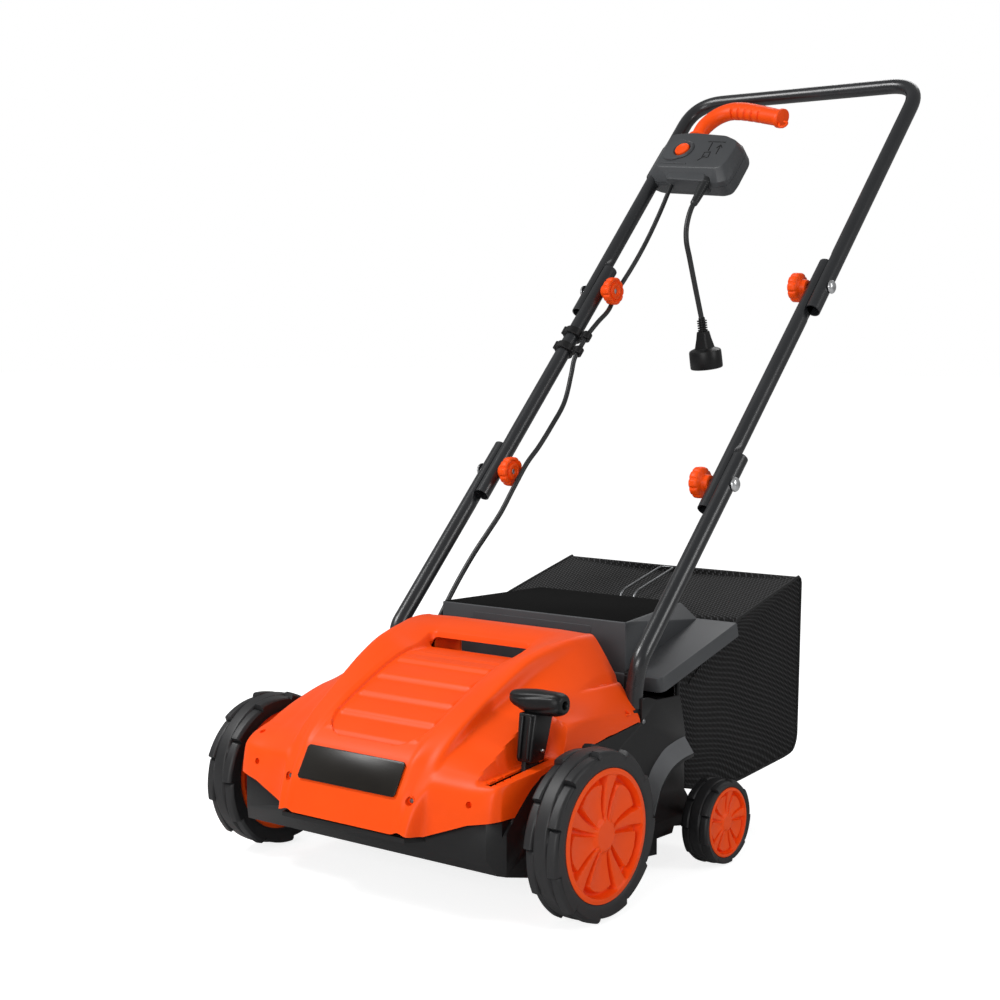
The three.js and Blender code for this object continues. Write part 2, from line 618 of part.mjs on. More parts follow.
// Arm on the cranked axle, passing up through the slot, and the ribbed stem above the cover.
function makeLeverStem() {
  const { y, z } = HEIGHT_PIVOT;
  const armOutline = [
    ...arc([y, z], 12, 150, 330, 6), [-12, 150], [-8, 186], [-34, 186], [-38, 150],
  ];
  const arm = prismX(armOutline, LEVER_X - 3, LEVER_X + 3);
  const bore = rodX(AXLE_RADIUS + 0.05, LEVER_X - 4, LEVER_X + 4, y, z);
  const stemOutline = [[-36, 178], [-8, 175], [8, 226], [8, 229], [-28, 229], [-28, 226]];
  const stem = prismX(stemOutline, LEVER_X - STEM_HALF, LEVER_X + STEM_HALF);
  const groove = (x) => block(x - 2, x + 2, -40, -30.5, 182, 224);
  return cut(union(arm, stem), bore, groove(LEVER_X - 6), groove(LEVER_X + 6));
}

function makeLeverGrip() {
  const profile = [
    ...arc([-4, 248], 8, 0, 90, 3), ...arc([-12, 248], 8, 90, 180, 3),
    ...arc([-16, 236], 7, 180, 235, 2), [-14, 229.3], [4, 229.3], ...arc([0, 238], 8, -50, 0, 2),
  ];
  const bar = prismX(profile.map(([u, v]) => [u - 2, v]), LEVER_X - 36, LEVER_X + 40);
  return cut(bar, rodX(5, LEVER_X + 26, LEVER_X + 41, -10, 243, 10));
}

// ---------------------------------------------------------------- handle
const handleAngle = (from, to) => Math.atan2(to.z - from.z, to.y - from.y);
const beyond = (point, angle, distance) => ({
  y: point.y + distance * Math.cos(angle),
  z: point.z + distance * Math.sin(angle),
});
const LOWER_BEND = { y: 181, z: 268 };
const LOWER_ANGLE = handleAngle(LOWER_BEND, LOWER_FOLD);
const MIDDLE_ANGLE = handleAngle(LOWER_FOLD, UPPER_FOLD);
const UPPER_ANGLE = handleAngle(UPPER_FOLD, HANDLE_TOP);

// The crescent ends: everything past the fold plane is removed around a joint.
function foldCut(point, x0, x1) {
  return block(x0, x1, point.y - 70, point.y + 70, point.z - 70, point.z + 70);
}

const tubeScrewHole = () => rodX(TUBE_SCREW.bore, 196, 210, SOCKET.y, TUBE_SCREW.z, 8);
const boltHole = (point) => rodX(BOLT_RADIUS + GAP, 150, 230, point.y, point.z, 10);

// Upright foot in the deck's socket, an outward crank, then the straight run to the fold.
function makeLowerTube() {
  const end = beyond(LOWER_FOLD, LOWER_ANGLE, TUBE_LAP);
  const bend = new THREE.QuadraticBezierCurve3(
    new THREE.Vector3(OUTER_TUBE_X, 177, 258),
    new THREE.Vector3(OUTER_TUBE_X, 180, 270),
    new THREE.Vector3(OUTER_TUBE_X, 194, 282.5));
  const path = [
    new THREE.Vector3(SOCKET.x, SOCKET.y, SOCKET.floor + 1),
    new THREE.Vector3(SOCKET.x, SOCKET.y, 222),
    new THREE.Vector3(197, SOCKET.y + 0.5, 250),
    ...bend.getPoints(4),
    new THREE.Vector3(OUTER_TUBE_X, end.y, end.z),
  ];
  return cut(sweep(path, TUBE_RADIUS, 10, TUBE_BORE),
    foldCut(beyond(LOWER_FOLD, LOWER_ANGLE, 12), 160, FOLD_PLANE_X + 0.2),
    boltHole(LOWER_FOLD),
    tubeScrewHole());
}

function makeMiddleTube() {
  const start = beyond(LOWER_FOLD, MIDDLE_ANGLE, -TUBE_LAP);
  const end = beyond(UPPER_FOLD, MIDDLE_ANGLE, TUBE_LAP);
  const path = [new THREE.Vector3(MIDDLE_TUBE_X, start.y, start.z),
    new THREE.Vector3(MIDDLE_TUBE_X, end.y, end.z)];
  return cut(sweep(path, TUBE_RADIUS, 10, TUBE_BORE),
    foldCut(beyond(LOWER_FOLD, MIDDLE_ANGLE, -12), FOLD_PLANE_X - 0.2, 220),
    foldCut(beyond(UPPER_FOLD, MIDDLE_ANGLE, 12), FOLD_PLANE_X - 0.2, 220),
    boltHole(LOWER_FOLD), boltHole(UPPER_FOLD));
}

function makeUpperBar() {
  const start = beyond(UPPER_FOLD, UPPER_ANGLE, -TUBE_LAP);
  const path = bentPath([
    [OUTER_TUBE_X, start.y, start.z], [OUTER_TUBE_X, HANDLE_TOP.y, HANDLE_TOP.z],
    [-OUTER_TUBE_X, HANDLE_TOP.y, HANDLE_TOP.z], [-OUTER_TUBE_X, start.y, start.z],
  ], 52, 5);
  const lap = beyond(UPPER_FOLD, UPPER_ANGLE, -12);
  return cut(sweep(path, TUBE_RADIUS, 10, TUBE_BORE),
    foldCut(lap, 150, FOLD_PLANE_X + 0.2), foldCut(lap, -FOLD_PLANE_X - 0.2, -150),
    boltHole(UPPER_FOLD), mirrorX(boltHole(UPPER_FOLD)));
}

function makeBolt({ y, z }) {
  return turnedX([
    [0, 166], [BOLT_RADIUS, 166], [BOLT_RADIUS, 209.3], [9, 209.3], [9, 211], [6, 214], [0, 215],
  ], y, z, 10);
}

// Fluted knob: ten soft lobes round the grip, and a collar against the tube.
function makeKnob({ y, z }) {
  const lobes = Array.from({ length: 40 }, (_, i) => {
    const angle = (i * Math.PI) / 20;
    const radius = KNOB.radius + KNOB.flute * Math.cos(KNOB.lobes * angle);
    return [y + radius * Math.cos(angle), z + radius * Math.sin(angle)];
  });
  const wheel = prismX(lobes, 150, 164);
  const collar = rodX(11, 163, 173.6, y, z, 10);
  return cut(union(wheel, collar), rodX(BOLT_RADIUS + 0.7, 160, 180, y, z, 8));
}

function makeTubeScrew() {
  const profile = [[0, 200], [2.2, 200], [2.2, 205.3], [6, 205.3], [6, 207], [4, 208.4], [0, 208.6]];
  return turnedX(profile, SOCKET.y, TUBE_SCREW.z, 8);
}

// ---------------------------------------------------------------- controls
// Frame of the upper bar: u across, v up along the bar, w out of its plane, towards the front.
const barUp = new THREE.Vector3(0, Math.cos(UPPER_ANGLE), Math.sin(UPPER_ANGLE));
const barOut = new THREE.Vector3(0, -Math.sin(UPPER_ANGLE), Math.cos(UPPER_ANGLE));
const barFrame = new THREE.Matrix4().makeBasis(new THREE.Vector3(1, 0, 0), barUp, barOut)
  .setPosition(0, UPPER_FOLD.y, UPPER_FOLD.z);
const onBar = (u, v, w) => new THREE.Vector3(u, v, w).applyMatrix4(barFrame);

function barPrism(points, w0, w1, holes = []) {
  const shape = outline(points, holes);
  const geometry = new THREE.ExtrudeGeometry(shape, { depth: w1 - w0, bevelEnabled: false });
  return solid(geometry.translate(0, 0, w0).applyMatrix4(barFrame));
}

const SWITCH_BOX = [
  [-185, 232], [-66, 216], [-54, 220], [-48, 230], [-47, 240], [-47, 284], [-52, 298], [-66, 310],
  [-82, 315], [-150, 325], [-197, 324], [-208, 319], [-212, 309], [-212, 246], [-206, 236],
];
const BOX_SPLIT = 2;
const BUTTON = { u: -150, v: 283, radius: 12.2 };
const LEVER_PIVOT = { u: -158, v: 312 };
const LEVER_SLOT = [[-172, 300], [-144, 300], [-144, 340], [-172, 340]];

// Elbow of the squeeze lever under the crossbar, and the flange at its free end, as (u, v).
const LEVER_ELBOW = [
  [-169, 312], [-170, 345], [-165, 370], [-153, 389], [-136, 400], [-115, 402.5], [-85, 399], [-50, 388],
  [-14, 374], [-16, 350], [-50, 361], [-85, 372], [-110, 376], [-128, 373], [-140, 362], [-147, 345],
  [-147, 312],
];
const LEVER_FLANGE = [
  [-18, 381], [-9, 382], [-4, 372], [3, 350], [5, 341], [-2, 337], [-8, 341], [-17, 343],
];

function shrink(points, amount) {
  const u0 = points.reduce((sum, p) => sum + p[0], 0) / points.length;
  const v0 = points.reduce((sum, p) => sum + p[1], 0) / points.length;
  return points.map(([u, v]) => {
    const length = Math.hypot(u - u0, v - v0);
    const scale = (length - amount) / length;
    return [u0 + (u - u0) * scale, v0 + (v - v0) * scale];
  });
}

const CLAMP_JAW = [[-209, 238], [-184, 236], [-184, 312], [-209, 312]];

const barBore = () => rodBetween(
  onBar(-OUTER_TUBE_X, 200, 0).toArray(), onBar(-OUTER_TUBE_X, 340, 0).toArray(), TUBE_RADIUS + GAP, 16);

// Openings in the lower wall of the box for the mains cable and the plug's lead.
const cableHoles = () => [
  barPrism([[-158, 206], [-147, 206], [-147, 246], [-158, 246]], -1, 11),
  barPrism([[-94, 206], [-82, 206], [-82, 232], [-94, 232]], 3, 15),
];

function makeSwitchFront() {
  const shell = cut(barPrism(SWITCH_BOX, BOX_SPLIT + GAP / 2, 24),
    barPrism(shrink(SWITCH_BOX, 4), BOX_SPLIT - 1, 21));
  const face = barPrism(circle(BUTTON.radius + 4.5, 16, [BUTTON.u, BUTTON.v]), 20, 27);
  const leverSlot = barPrism(LEVER_SLOT, -8, 10);
  return cut(union(shell, barPrism(CLAMP_JAW, BOX_SPLIT + GAP / 2, 14), face),
    barBore(), barPrism(circle(BUTTON.radius + 0.6, 16, [BUTTON.u, BUTTON.v]), 10, 30), leverSlot,
    ...cableHoles());
}

function makeSwitchBack() {
  const shell = cut(barPrism(SWITCH_BOX, -20, BOX_SPLIT - GAP / 2),
    barPrism(shrink(SWITCH_BOX, 4), -17, BOX_SPLIT + 1));
  const leverSlot = barPrism(LEVER_SLOT, -10, 8);
  const jaw = barPrism(CLAMP_JAW, -14, BOX_SPLIT - GAP / 2);
  return cut(union(shell, jaw), barBore(), leverSlot, ...cableHoles());
}

function makeSafetyButton() {
  const stem = barPrism(circle(BUTTON.radius, 16, [BUTTON.u, BUTTON.v]), 12, 29);
  const flange = barPrism(circle(BUTTON.radius + 2, 16, [BUTTON.u, BUTTON.v]), 12, 15);
  return union(stem, flange);
}

const leverRoot = (top) => [[-180, 300], [-130, 300], [-130, top], [-180, top]];
const LEVER_DEPTH = [-6, 20];

const makeSwitchLever = () => union(
  barPrism(LEVER_ELBOW, -6, 8).intersect(barPrism(leverRoot(345), -9, 9)),
  cut(barPrism(LEVER_ELBOW, ...LEVER_DEPTH), barPrism(leverRoot(332), -30, 30)),
  barPrism(LEVER_FLANGE, ...LEVER_DEPTH),
  barPrism(circle(9, 12, [LEVER_PIVOT.u, LEVER_PIVOT.v]), -6, 6));

// The same kind of frame on the middle tubes, from the lower fold.
const middleUp = new THREE.Vector3(0, Math.cos(MIDDLE_ANGLE), Math.sin(MIDDLE_ANGLE));
const middleOut = new THREE.Vector3(0, -Math.sin(MIDDLE_ANGLE), Math.cos(MIDDLE_ANGLE));
const middleFrame = new THREE.Matrix4().makeBasis(new THREE.Vector3(1, 0, 0), middleUp, middleOut)
  .setPosition(0, LOWER_FOLD.y, LOWER_FOLD.z);
const onMiddle = (u, v, w) => new THREE.Vector3(u, v, w).applyMatrix4(middleFrame);

const runOf = (points, radius, count, sides = 6) => sweep(smoothPath(points, count), radius, sides);

const PIGTAIL = [
  onBar(-88, 226, 9).toArray(), onBar(-88, 205, 9).toArray(), onBar(-88, 186, 9).toArray(), [-88, 724, 852],
  [-87.2, 711, 825], [-86, 709, 803], [-84.5, 716, 778], [-81.5, 727, 737], [-78, 742, 685],
];
const MAINS_UPPER = [
  [-153, 5, 242], [-154, 4, 222], [-156, -4, 180], [-160, -13, 130], [-164, -18, 85], [-168, -20, 45],
  [-169, -19, 20],
].map(([u, w, v]) => onBar(u, v, w).toArray());
const MAINS_MIDDLE = [
  [-160, 330, -14], [-161, 300, -8], [-163, 266, -4], [-163, 251, -4], [-163, 236, -4],
  [-163, 221, -5.5], [-162, 200, -14],
  [-162, 158, -30], [-162, 110, -31], [-162, 69, -28], [-161, 34, -23],
].map(([u, v, w]) => onMiddle(u, v, w).toArray());
const MAINS_LOWER = [
  [-161, 382, 444], [-162, 356, 412], [-163, 328, 385], [-163, 300, 360], [-163, 270, 332], [-163, 248, 306],
  [-163, 228, 282], [-158, 205, 262], [-144, 188, 253], [-124, 174, 254],
];

const PLUG = { radius: 25, ribs: 7.6, neck: 11.5, shoulder: 46, length: 75 };

function makePlug() {
  const top = new THREE.Vector3(...PIGTAIL[PIGTAIL.length - 1]);
  const heading = new THREE.Vector3(2, 12.6, -73.3).normalize();
  const from = (distance) => top.clone().addScaledVector(heading, distance).toArray();
  const body = rodBetween(from(PLUG.shoulder), from(PLUG.length), PLUG.radius, 16);
  const neck = rodBetween(from(18), from(PLUG.shoulder + 1), PLUG.neck, 12);
  const relief = rodBetween(from(1.4), from(19), PLUG.ribs, 10);
  return cut(union(body, neck, relief), rodBetween(from(56), from(PLUG.length + 4), PLUG.radius - 3.5, 12));
}

// Ring round the right middle tube, with a small eye that holds the mains cable.
function makeClip(v) {
  const half = 6;
  const post = (u, w, reach, radius, sides) => rodBetween(
    onMiddle(u, v - reach, w).toArray(), onMiddle(u, v + reach, w).toArray(), radius, sides);
  const ring = post(-MIDDLE_TUBE_X, 0, half, 15.4, 12);
  const eye = post(-163, -4, half, 8, 8);
  const tubeRoom = post(-MIDDLE_TUBE_X, 0, 20, TUBE_RADIUS + 0.9, 12);
  const cableRoom = post(-163, -4, 20, 5.4, 8);
  return cut(union(ring, eye), tubeRoom, cableRoom);
}

// ---------------------------------------------------------------- flap and bag
const rise = (y) => 240 + ((y - 219) * 48) / 173;

// Raised housing on the flap: upright at the front, its sides leaning in towards the rear.
const FLAP_BOX = {
  front: { y: 216, half: 150, topHalf: 150, top: 303 }, rear: { y: 392, half: 145, topHalf: 118, top: 306 },
};

function flapBox(inset, drop) {
  const section = ({ y, half, topHalf, top }, along) => [-1, 1].flatMap((side) => [
    [side * (half - inset), y + along, rise(y) - 1 - drop],
    [side * (topHalf - inset), y + along, top - inset],
  ]);
  return wasm.Manifold.hull([...section(FLAP_BOX.front, inset), ...section(FLAP_BOX.rear, -inset)]);
}

function makeFlap() {
  const plate = prismX([
    [214, rise(214)], [212, rise(214) - 6], [215, rise(215) - 8], [219, rise(219) - 3.5],
    [392, rise(392) - 3.5],
    [392, rise(392)],
  ], -FLAP_HALF, FLAP_HALF);
  const skirt = (x0, x1) => prismX([
    [213, rise(213) - 1], [213, rise(213) - 14], [392, rise(392) - 18], [392, rise(392) - 1],
  ], x0, x1);
  const rearBand = prismX([
    [389, rise(392) - 13], [392, rise(392) - 13], [392, rise(392)], [389, rise(389)],
  ], -FLAP_HALF, FLAP_HALF);
  const raised = flapBox(0, 0);
  const hollow = flapBox(3, 14);
  const knuckle = (x0, x1) => prismX(circle(7, 12, [FLAP_HINGE.y, FLAP_HINGE.z]), x0, x1);
  const body = cut(union(plate, skirt(201, FLAP_HALF), skirt(-FLAP_HALF, -201), rearBand, raised,
    knuckle(158.4, 176), knuckle(-176, -158.4)), hollow);
  const lugRoom = (x0, x1) => block(x0, x1, 206, 240, 200, 252);
  return cut(body, lugRoom(149.5, 158.4), lugRoom(-158.4, -149.5),
    rodX(3 + GAP, -180, 180, FLAP_HINGE.y, FLAP_HINGE.z));
}

const BAG_OUTER = [
  [268, 232], [388, 266], [402.5, 270], [405, 289], [571, 331], [575, 326], [569, 100], [562, 88],
  [550, 84], [415, 72], [330, 76], [268, 92],
];
const BAG_INNER = [
  [260, 227.6], [388, 263.6], [404.2, 268], [406.8, 287.3], [570, 328.6], [572.9, 325],
  [567, 100.5], [561, 90], [549, 86.1],
  [415, 74.1], [330, 78.1], [260, 96],
];

function makeBag() {
  const outside = prismX(BAG_OUTER, -BAG_HALF, BAG_HALF);
  const inside = prismX(BAG_INNER, -BAG_HALF + BAG_WALL, BAG_HALF - BAG_WALL);
  const wireHole = (x) => prismZ(circle(4, 8, [x, 440]), 285, 305);
  return cut(outside, inside, wireHole(11), wireHole(-11));
}

// Steel wire: mouth hoop, two rails under the top cloth, and the carrying loop above it.
function makeBagFrame() {
  const wire = 2.5;
  const hoop = bentPath([
    [0, 274, 228], [188, 274, 228], [188, 274, 98], [-188, 274, 98], [-188, 274, 228], [-0.01, 274, 228],
  ], 14, 2);
  const rail = (x) => sweep(bentPath([
    [x, 274, 228], [x, 384, 254], [x, 414, 263], [x, 431, 284], [x, 440, 288], [x, 441, 306], [x, 536, 330],
  ], 4, 1), wire, 5);
  const across = rodBetween([-12.5, 536, 330], [12.5, 536, 330], wire, 5);
  return union(sweep(hoop, wire, 5), rail(11), rail(-11), across);
}

// ---------------------------------------------------------------- nose screws
const makeNoseScrew = () => rodBetween(
  [NOSE_SCREW.x, -129, NOSE_SCREW.z], [NOSE_SCREW.x, -123, NOSE_SCREW.z], NOSE_SCREW.head, 12);

// ---------------------------------------------------------------- assembly
const machine = new THREE.Group();
machine.name = 'lawn_dethatcher';
machine.position.y = -MID_LENGTH;
const place = (name, body, material) => {
  const mesh = new THREE.Mesh(geometryOf(body), material);
  mesh.name = name;
  machine.add(mesh);
};

place('deck_housing', makeDeck(), BLACK);
place('top_cover', makeCover(), ORANGE);
place('label_plate', makeLabelPlate(), LABEL);
place('nose_screw_left', makeNoseScrew(), DARK_STEEL);
place('nose_screw_right', mirrorX(makeNoseScrew()), DARK_STEEL);
place('belt_cover', makeBeltCover(), BLACK);
place('motor_can', makeMotorCan(), STEEL);
place('motor_rotor', makeMotorRotor(), DARK_STEEL);
place('drive_belt', makeBelt(), RUBBER);
place('reel_pulley', pulley(PULLEY_LARGE, REEL.shaft + 0.5, REEL.y, REEL.z), BLACK);
place('reel_spool', makeSpool(), STEEL);
RODS.forEach((angle, i) => place(`tine_rod_${i + 1}`, makeTineRod(angle, i % 2), STEEL));
place('reel_bearing_left', makeBearing(TUNNEL_HALF, 186), DARK_STEEL);
place('reel_bearing_right', makeBearing(-186, -TUNNEL_HALF), DARK_STEEL);

place('front_axle', makeFrontAxle(), DARK_STEEL);
place('rear_axle', rodX(5, -257, 257, REAR_WHEEL.y, REAR_WHEEL.z, 12), DARK_STEEL);
const frontTyre = makeTyre(FRONT_WHEEL, 24);
const frontHub = makeHub(FRONT_WHEEL, 6.2, 24);
const rearTyre = makeTyre(REAR_WHEEL, 16);
const rearHub = makeHub(REAR_WHEEL, 5.6, 16);
place('front_tyre_left', frontTyre, RUBBER);
place('front_tyre_right', mirrorX(frontTyre), RUBBER);
place('front_hub_left', frontHub, ORANGE);
place('front_hub_right', mirrorX(frontHub), ORANGE);
place('rear_tyre_left', rearTyre, RUBBER);
place('rear_tyre_right', mirrorX(rearTyre), RUBBER);
place('rear_hub_left', rearHub, ORANGE);
place('rear_hub_right', mirrorX(rearHub), ORANGE);
place('lever_stem', makeLeverStem(), BLACK);
place('lever_grip', makeLeverGrip(), BLACK);

const lowerTube = makeLowerTube();
const middleTube = makeMiddleTube();
place('lower_tube_left', lowerTube, TUBE_PAINT);
place('lower_tube_right', mirrorX(lowerTube), TUBE_PAINT);
place('middle_tube_left', middleTube, TUBE_PAINT);
place('middle_tube_right', mirrorX(middleTube), TUBE_PAINT);
place('upper_bar', makeUpperBar(), TUBE_PAINT);
place('tube_screw_left', makeTubeScrew(), STEEL);
place('tube_screw_right', mirrorX(makeTubeScrew()), STEEL);
[['lower', LOWER_FOLD], ['upper', UPPER_FOLD]].forEach(([level, point]) => {
  place(`fold_bolt_${level}_left`, makeBolt(point), STEEL);
  place(`fold_bolt_${level}_right`, mirrorX(makeBolt(point)), STEEL);
  place(`fold_knob_${level}_left`, makeKnob(point), ORANGE);
  place(`fold_knob_${level}_right`, mirrorX(makeKnob(point)), ORANGE);
});

place('switch_box_front', makeSwitchFront(), CHARCOAL);
place('switch_box_back', makeSwitchBack(), CHARCOAL);
place('safety_button', makeSafetyButton(), ORANGE);
place('switch_lever', makeSwitchLever(), ORANGE);
place('pigtail_cable', runOf(PIGTAIL, 4, 14), RUBBER);
place('plug', makePlug(), CHARCOAL);
place('mains_cable_upper', runOf(MAINS_UPPER, 3.5, 10), RUBBER);
place('mains_cable_middle', runOf(MAINS_MIDDLE, 3.5, 14), RUBBER);
place('mains_cable_lower', runOf(MAINS_LOWER, 3.5, 12), RUBBER);
place('cable_clip_upper', makeClip(266), BLACK);
place('cable_clip_lower', makeClip(236), BLACK);

place('flap', makeFlap(), CHARCOAL);
place('flap_pin', rodX(3, -178, 178, FLAP_HINGE.y, FLAP_HINGE.z, 8), STEEL);
place('bag', makeBag(), FABRIC);
place('bag_frame', makeBagFrame(), STEEL);

export default machine;
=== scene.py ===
import json
import math

import bmesh
import bpy
import numpy as np
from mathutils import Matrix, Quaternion, Vector


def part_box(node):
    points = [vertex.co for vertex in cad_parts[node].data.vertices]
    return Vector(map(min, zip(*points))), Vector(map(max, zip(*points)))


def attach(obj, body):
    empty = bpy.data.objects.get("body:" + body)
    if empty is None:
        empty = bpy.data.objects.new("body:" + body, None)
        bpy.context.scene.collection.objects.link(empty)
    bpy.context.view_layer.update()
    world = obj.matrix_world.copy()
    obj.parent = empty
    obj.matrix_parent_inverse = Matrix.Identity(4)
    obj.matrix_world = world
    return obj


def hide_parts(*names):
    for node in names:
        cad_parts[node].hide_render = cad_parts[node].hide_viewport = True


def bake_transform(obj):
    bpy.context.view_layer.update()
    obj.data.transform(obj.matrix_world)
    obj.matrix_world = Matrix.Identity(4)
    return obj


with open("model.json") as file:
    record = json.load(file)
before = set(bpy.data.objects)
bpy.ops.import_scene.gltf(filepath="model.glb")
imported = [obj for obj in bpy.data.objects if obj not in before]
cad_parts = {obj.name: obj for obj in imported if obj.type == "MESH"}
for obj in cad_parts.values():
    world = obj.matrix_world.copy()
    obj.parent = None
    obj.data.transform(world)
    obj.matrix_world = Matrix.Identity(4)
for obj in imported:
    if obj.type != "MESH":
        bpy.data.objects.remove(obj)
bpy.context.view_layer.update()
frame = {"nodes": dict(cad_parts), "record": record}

# ---------------------------------------------------------------- frame
# Shapes are written in millimetres with y = 0 at the front axle, -y the front and +x the
# machine's left side; in_row() turns them into the row frame's metres.
MM = 0.001
hub_low, hub_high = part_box("front_hub_left")
AXLE_Y = (hub_low.y + hub_high.y) / 2


def in_row(points):
    return np.asarray(points, float).reshape(-1, 3) * MM + np.array([0, AXLE_Y, 0])


# ---------------------------------------------------------------- materials
YARN_DIRECTIONS = ((1.0, 1.0, 0.0), (0.35, -0.7, 1.0))


def feed(tree, node, inputs):
    """Sets a node's inputs, each to a value or to another node's output."""
    for name, value in inputs.items():
        if isinstance(value, bpy.types.NodeSocket):
            tree.links.new(value, node.inputs[name])
        else:
            node.inputs[name].default_value = value
    return node


def add_node(tree, kind, inputs, **settings):
    node = tree.nodes.new("ShaderNode" + kind)
    for name, value in settings.items():
        setattr(node, name, value)
    return feed(tree, node, inputs)


def colour_ramp(tree, value, low, high, low_stop, high_stop):
    ramp = add_node(tree, "ValToRGB", {"Fac": value})
    for element, stop, colour in zip(ramp.color_ramp.elements, (low_stop, high_stop), (low, high)):
        element.position = stop
        element.color = (*colour, 1)
    return ramp.outputs["Color"]


def node_material(name, colour, roughness, metallic=0.0, spread=0.08, grain=900.0, bump=0.15,
                  edge=0.25, sheen=0.0, specular=0.5):
    """Plastic, paint or metal with mottled colour, fine grain and worn edges."""
    material = bpy.data.materials.new(name)
    material.use_nodes = True
    tree = material.node_tree
    place = add_node(tree, "TexCoord", {}).outputs["Object"]
    broad = add_node(tree, "TexNoise", {"Vector": place, "Scale": 14.0, "Detail": 4.0}).outputs["Fac"]
    fine = add_node(tree, "TexNoise", {"Vector": place, "Scale": grain, "Detail": 3.0}).outputs["Fac"]
    low = [c * (1 - spread) for c in colour]
    high = [min(1.0, c * (1 + spread)) for c in colour]
    tone = colour_ramp(tree, broad, low, high, 0.3, 0.7)
    pointed = add_node(tree, "NewGeometry", {}).outputs["Pointiness"]
    wear = add_node(tree, "MapRange", {"Value": pointed, "From Min": 0.52, "From Max": 0.62, "To Max": edge})
    bare = (*[min(1.0, c * 1.5 + 0.06) for c in colour], 1)
    worn = add_node(tree, "Mix", {"Factor": wear.outputs["Result"], "A": tone, "B": bare}, data_type="RGBA")
    gloss = add_node(tree, "MapRange", {"Value": broad, "To Min": max(0.05, roughness - 0.07),
                                        "To Max": min(1.0, roughness + 0.07)})
    relief = add_node(tree, "Bump", {"Strength": bump, "Distance": 0.0004, "Height": fine})
    feed(tree, tree.nodes["Principled BSDF"], {
        "Base Color": worn.outputs["Result"], "Roughness": gloss.outputs["Result"],
        "Normal": relief.outputs["Normal"], "Metallic": metallic, "Coat Roughness": 0.15,
        "Sheen Weight": sheen, "Specular IOR Level": specular})
    return material


def fabric_material(name, dark, light, pitch):
    """Woven mesh: two crossing sets of diagonal yarns with dark holes between them."""
    material = node_material(name, dark, 0.8, spread=0.25, grain=1500.0, bump=0.1, edge=0.0, sheen=0.05,
                             specular=0.2)
    tree = material.node_tree
    place = add_node(tree, "TexCoord", {}).outputs["Object"]
    yarns = []
    for direction in YARN_DIRECTIONS:
        turn = add_node(tree, "VectorMath", {0: place, 1: direction}, operation="DOT_PRODUCT")
        wave = add_node(tree, "Math", {0: turn.outputs["Value"], 1: math.pi / pitch}, operation="MULTIPLY")
        yarns.append(add_node(tree, "Math", {0: wave.outputs[0]}, operation="SINE").outputs[0])
    cross = add_node(tree, "Math", {0: yarns[0], 1: yarns[1]}, operation="MULTIPLY").outputs[0]
    relief = add_node(tree, "Bump", {"Strength": 0.8, "Distance": 0.0009, "Height": cross})
    feed(tree, tree.nodes["Principled BSDF"], {
        "Base Color": colour_ramp(tree, cross, dark, light, 0.35, 0.8), "Normal": relief.outputs["Normal"]})
    return material


ORANGE = node_material("orange_moulded", (1.0, 0.082, 0.003), 0.4, spread=0.04, bump=0.05,
                       edge=0.1, specular=0.2)
HUB_ORANGE = node_material("orange_hub", (1.0, 0.085, 0.004), 0.42, spread=0.05, bump=0.08,
                           edge=0.1, specular=0.25)
BLACK = node_material("black_moulded", (0.004, 0.004, 0.0045), 0.4, spread=0.2, bump=0.12,
                      edge=0.08, specular=0.32)
# Light grey on what is black plastic: a painted highlight standing in for the fender lip's sheen.
PAINTED_SHEEN_GREY = node_material("painted_sheen_grey", (0.13, 0.134, 0.14), 0.5, spread=0.1, edge=0.1,
                      specular=0.4)
MATT_BLACK = node_material("matt_black", (0.006, 0.006, 0.006), 0.9, spread=0.2, bump=0.3,
                           edge=0.0, specular=0.04)
CHARCOAL = node_material("charcoal_moulded", (0.05, 0.053, 0.057), 0.46, spread=0.1,
                         edge=0.12, specular=0.4)
LABEL = node_material("label_film", (0.010, 0.008, 0.006), 0.3, spread=0.1, bump=0.03, edge=0.0,
                      specular=0.3)
TUBE = node_material("tube_paint", (0.015, 0.016, 0.018), 0.3, spread=0.1, bump=0.01, edge=0.08,
                     specular=0.6)
STEEL = node_material("zinc_steel", (0.62, 0.63, 0.64), 0.28, metallic=1.0, grain=1800.0, bump=0.1)
DARK_STEEL = node_material("dark_steel", (0.2, 0.205, 0.21), 0.38, metallic=1.0, spread=0.2)
RUBBER = node_material("tyre_rubber", (0.011, 0.011, 0.012), 0.5, spread=0.18, grain=700.0,
                       bump=0.2, edge=0.08)
CABLE = node_material("cable_jacket", (0.012, 0.013, 0.014), 0.42, spread=0.12, bump=0.1,
                     edge=0.05)
FABRIC = fabric_material("bag_mesh", (0.0012, 0.0012, 0.0012), (0.05, 0.05, 0.053), 0.0034)
BINDING = node_material("bag_binding", (0.004, 0.004, 0.0045), 0.7, spread=0.2, grain=1600.0,
                        bump=0.3, sheen=0.05, specular=0.3)
NODE_BODY = {node: body for body, members in frame["record"]["behaviour"]["bodies"].items() for node in members}


# ---------------------------------------------------------------- mesh tools
# A shape is (points in millimetres, faces as tuples of point numbers).
def joined(*shapes):
    points, faces, start = [], [], 0
    for part_points, part_faces in shapes:
        part_points = np.asarray(part_points, float).reshape(-1, 3)
        points.append(part_points)
        faces += [tuple(i + start for i in face) for face in part_faces]
        start += len(part_points)
    return np.vstack(points), faces


def unchanged(shape):
    return shape


def mirrored(shape):
    points, faces = shape
    return np.asarray(points, float) * [-1, 1, 1], [tuple(reversed(face)) for face in faces]


# Shapes are drawn for the left side; the right one is its mirror image.
SIDES = {"left": unchanged, "right": mirrored}


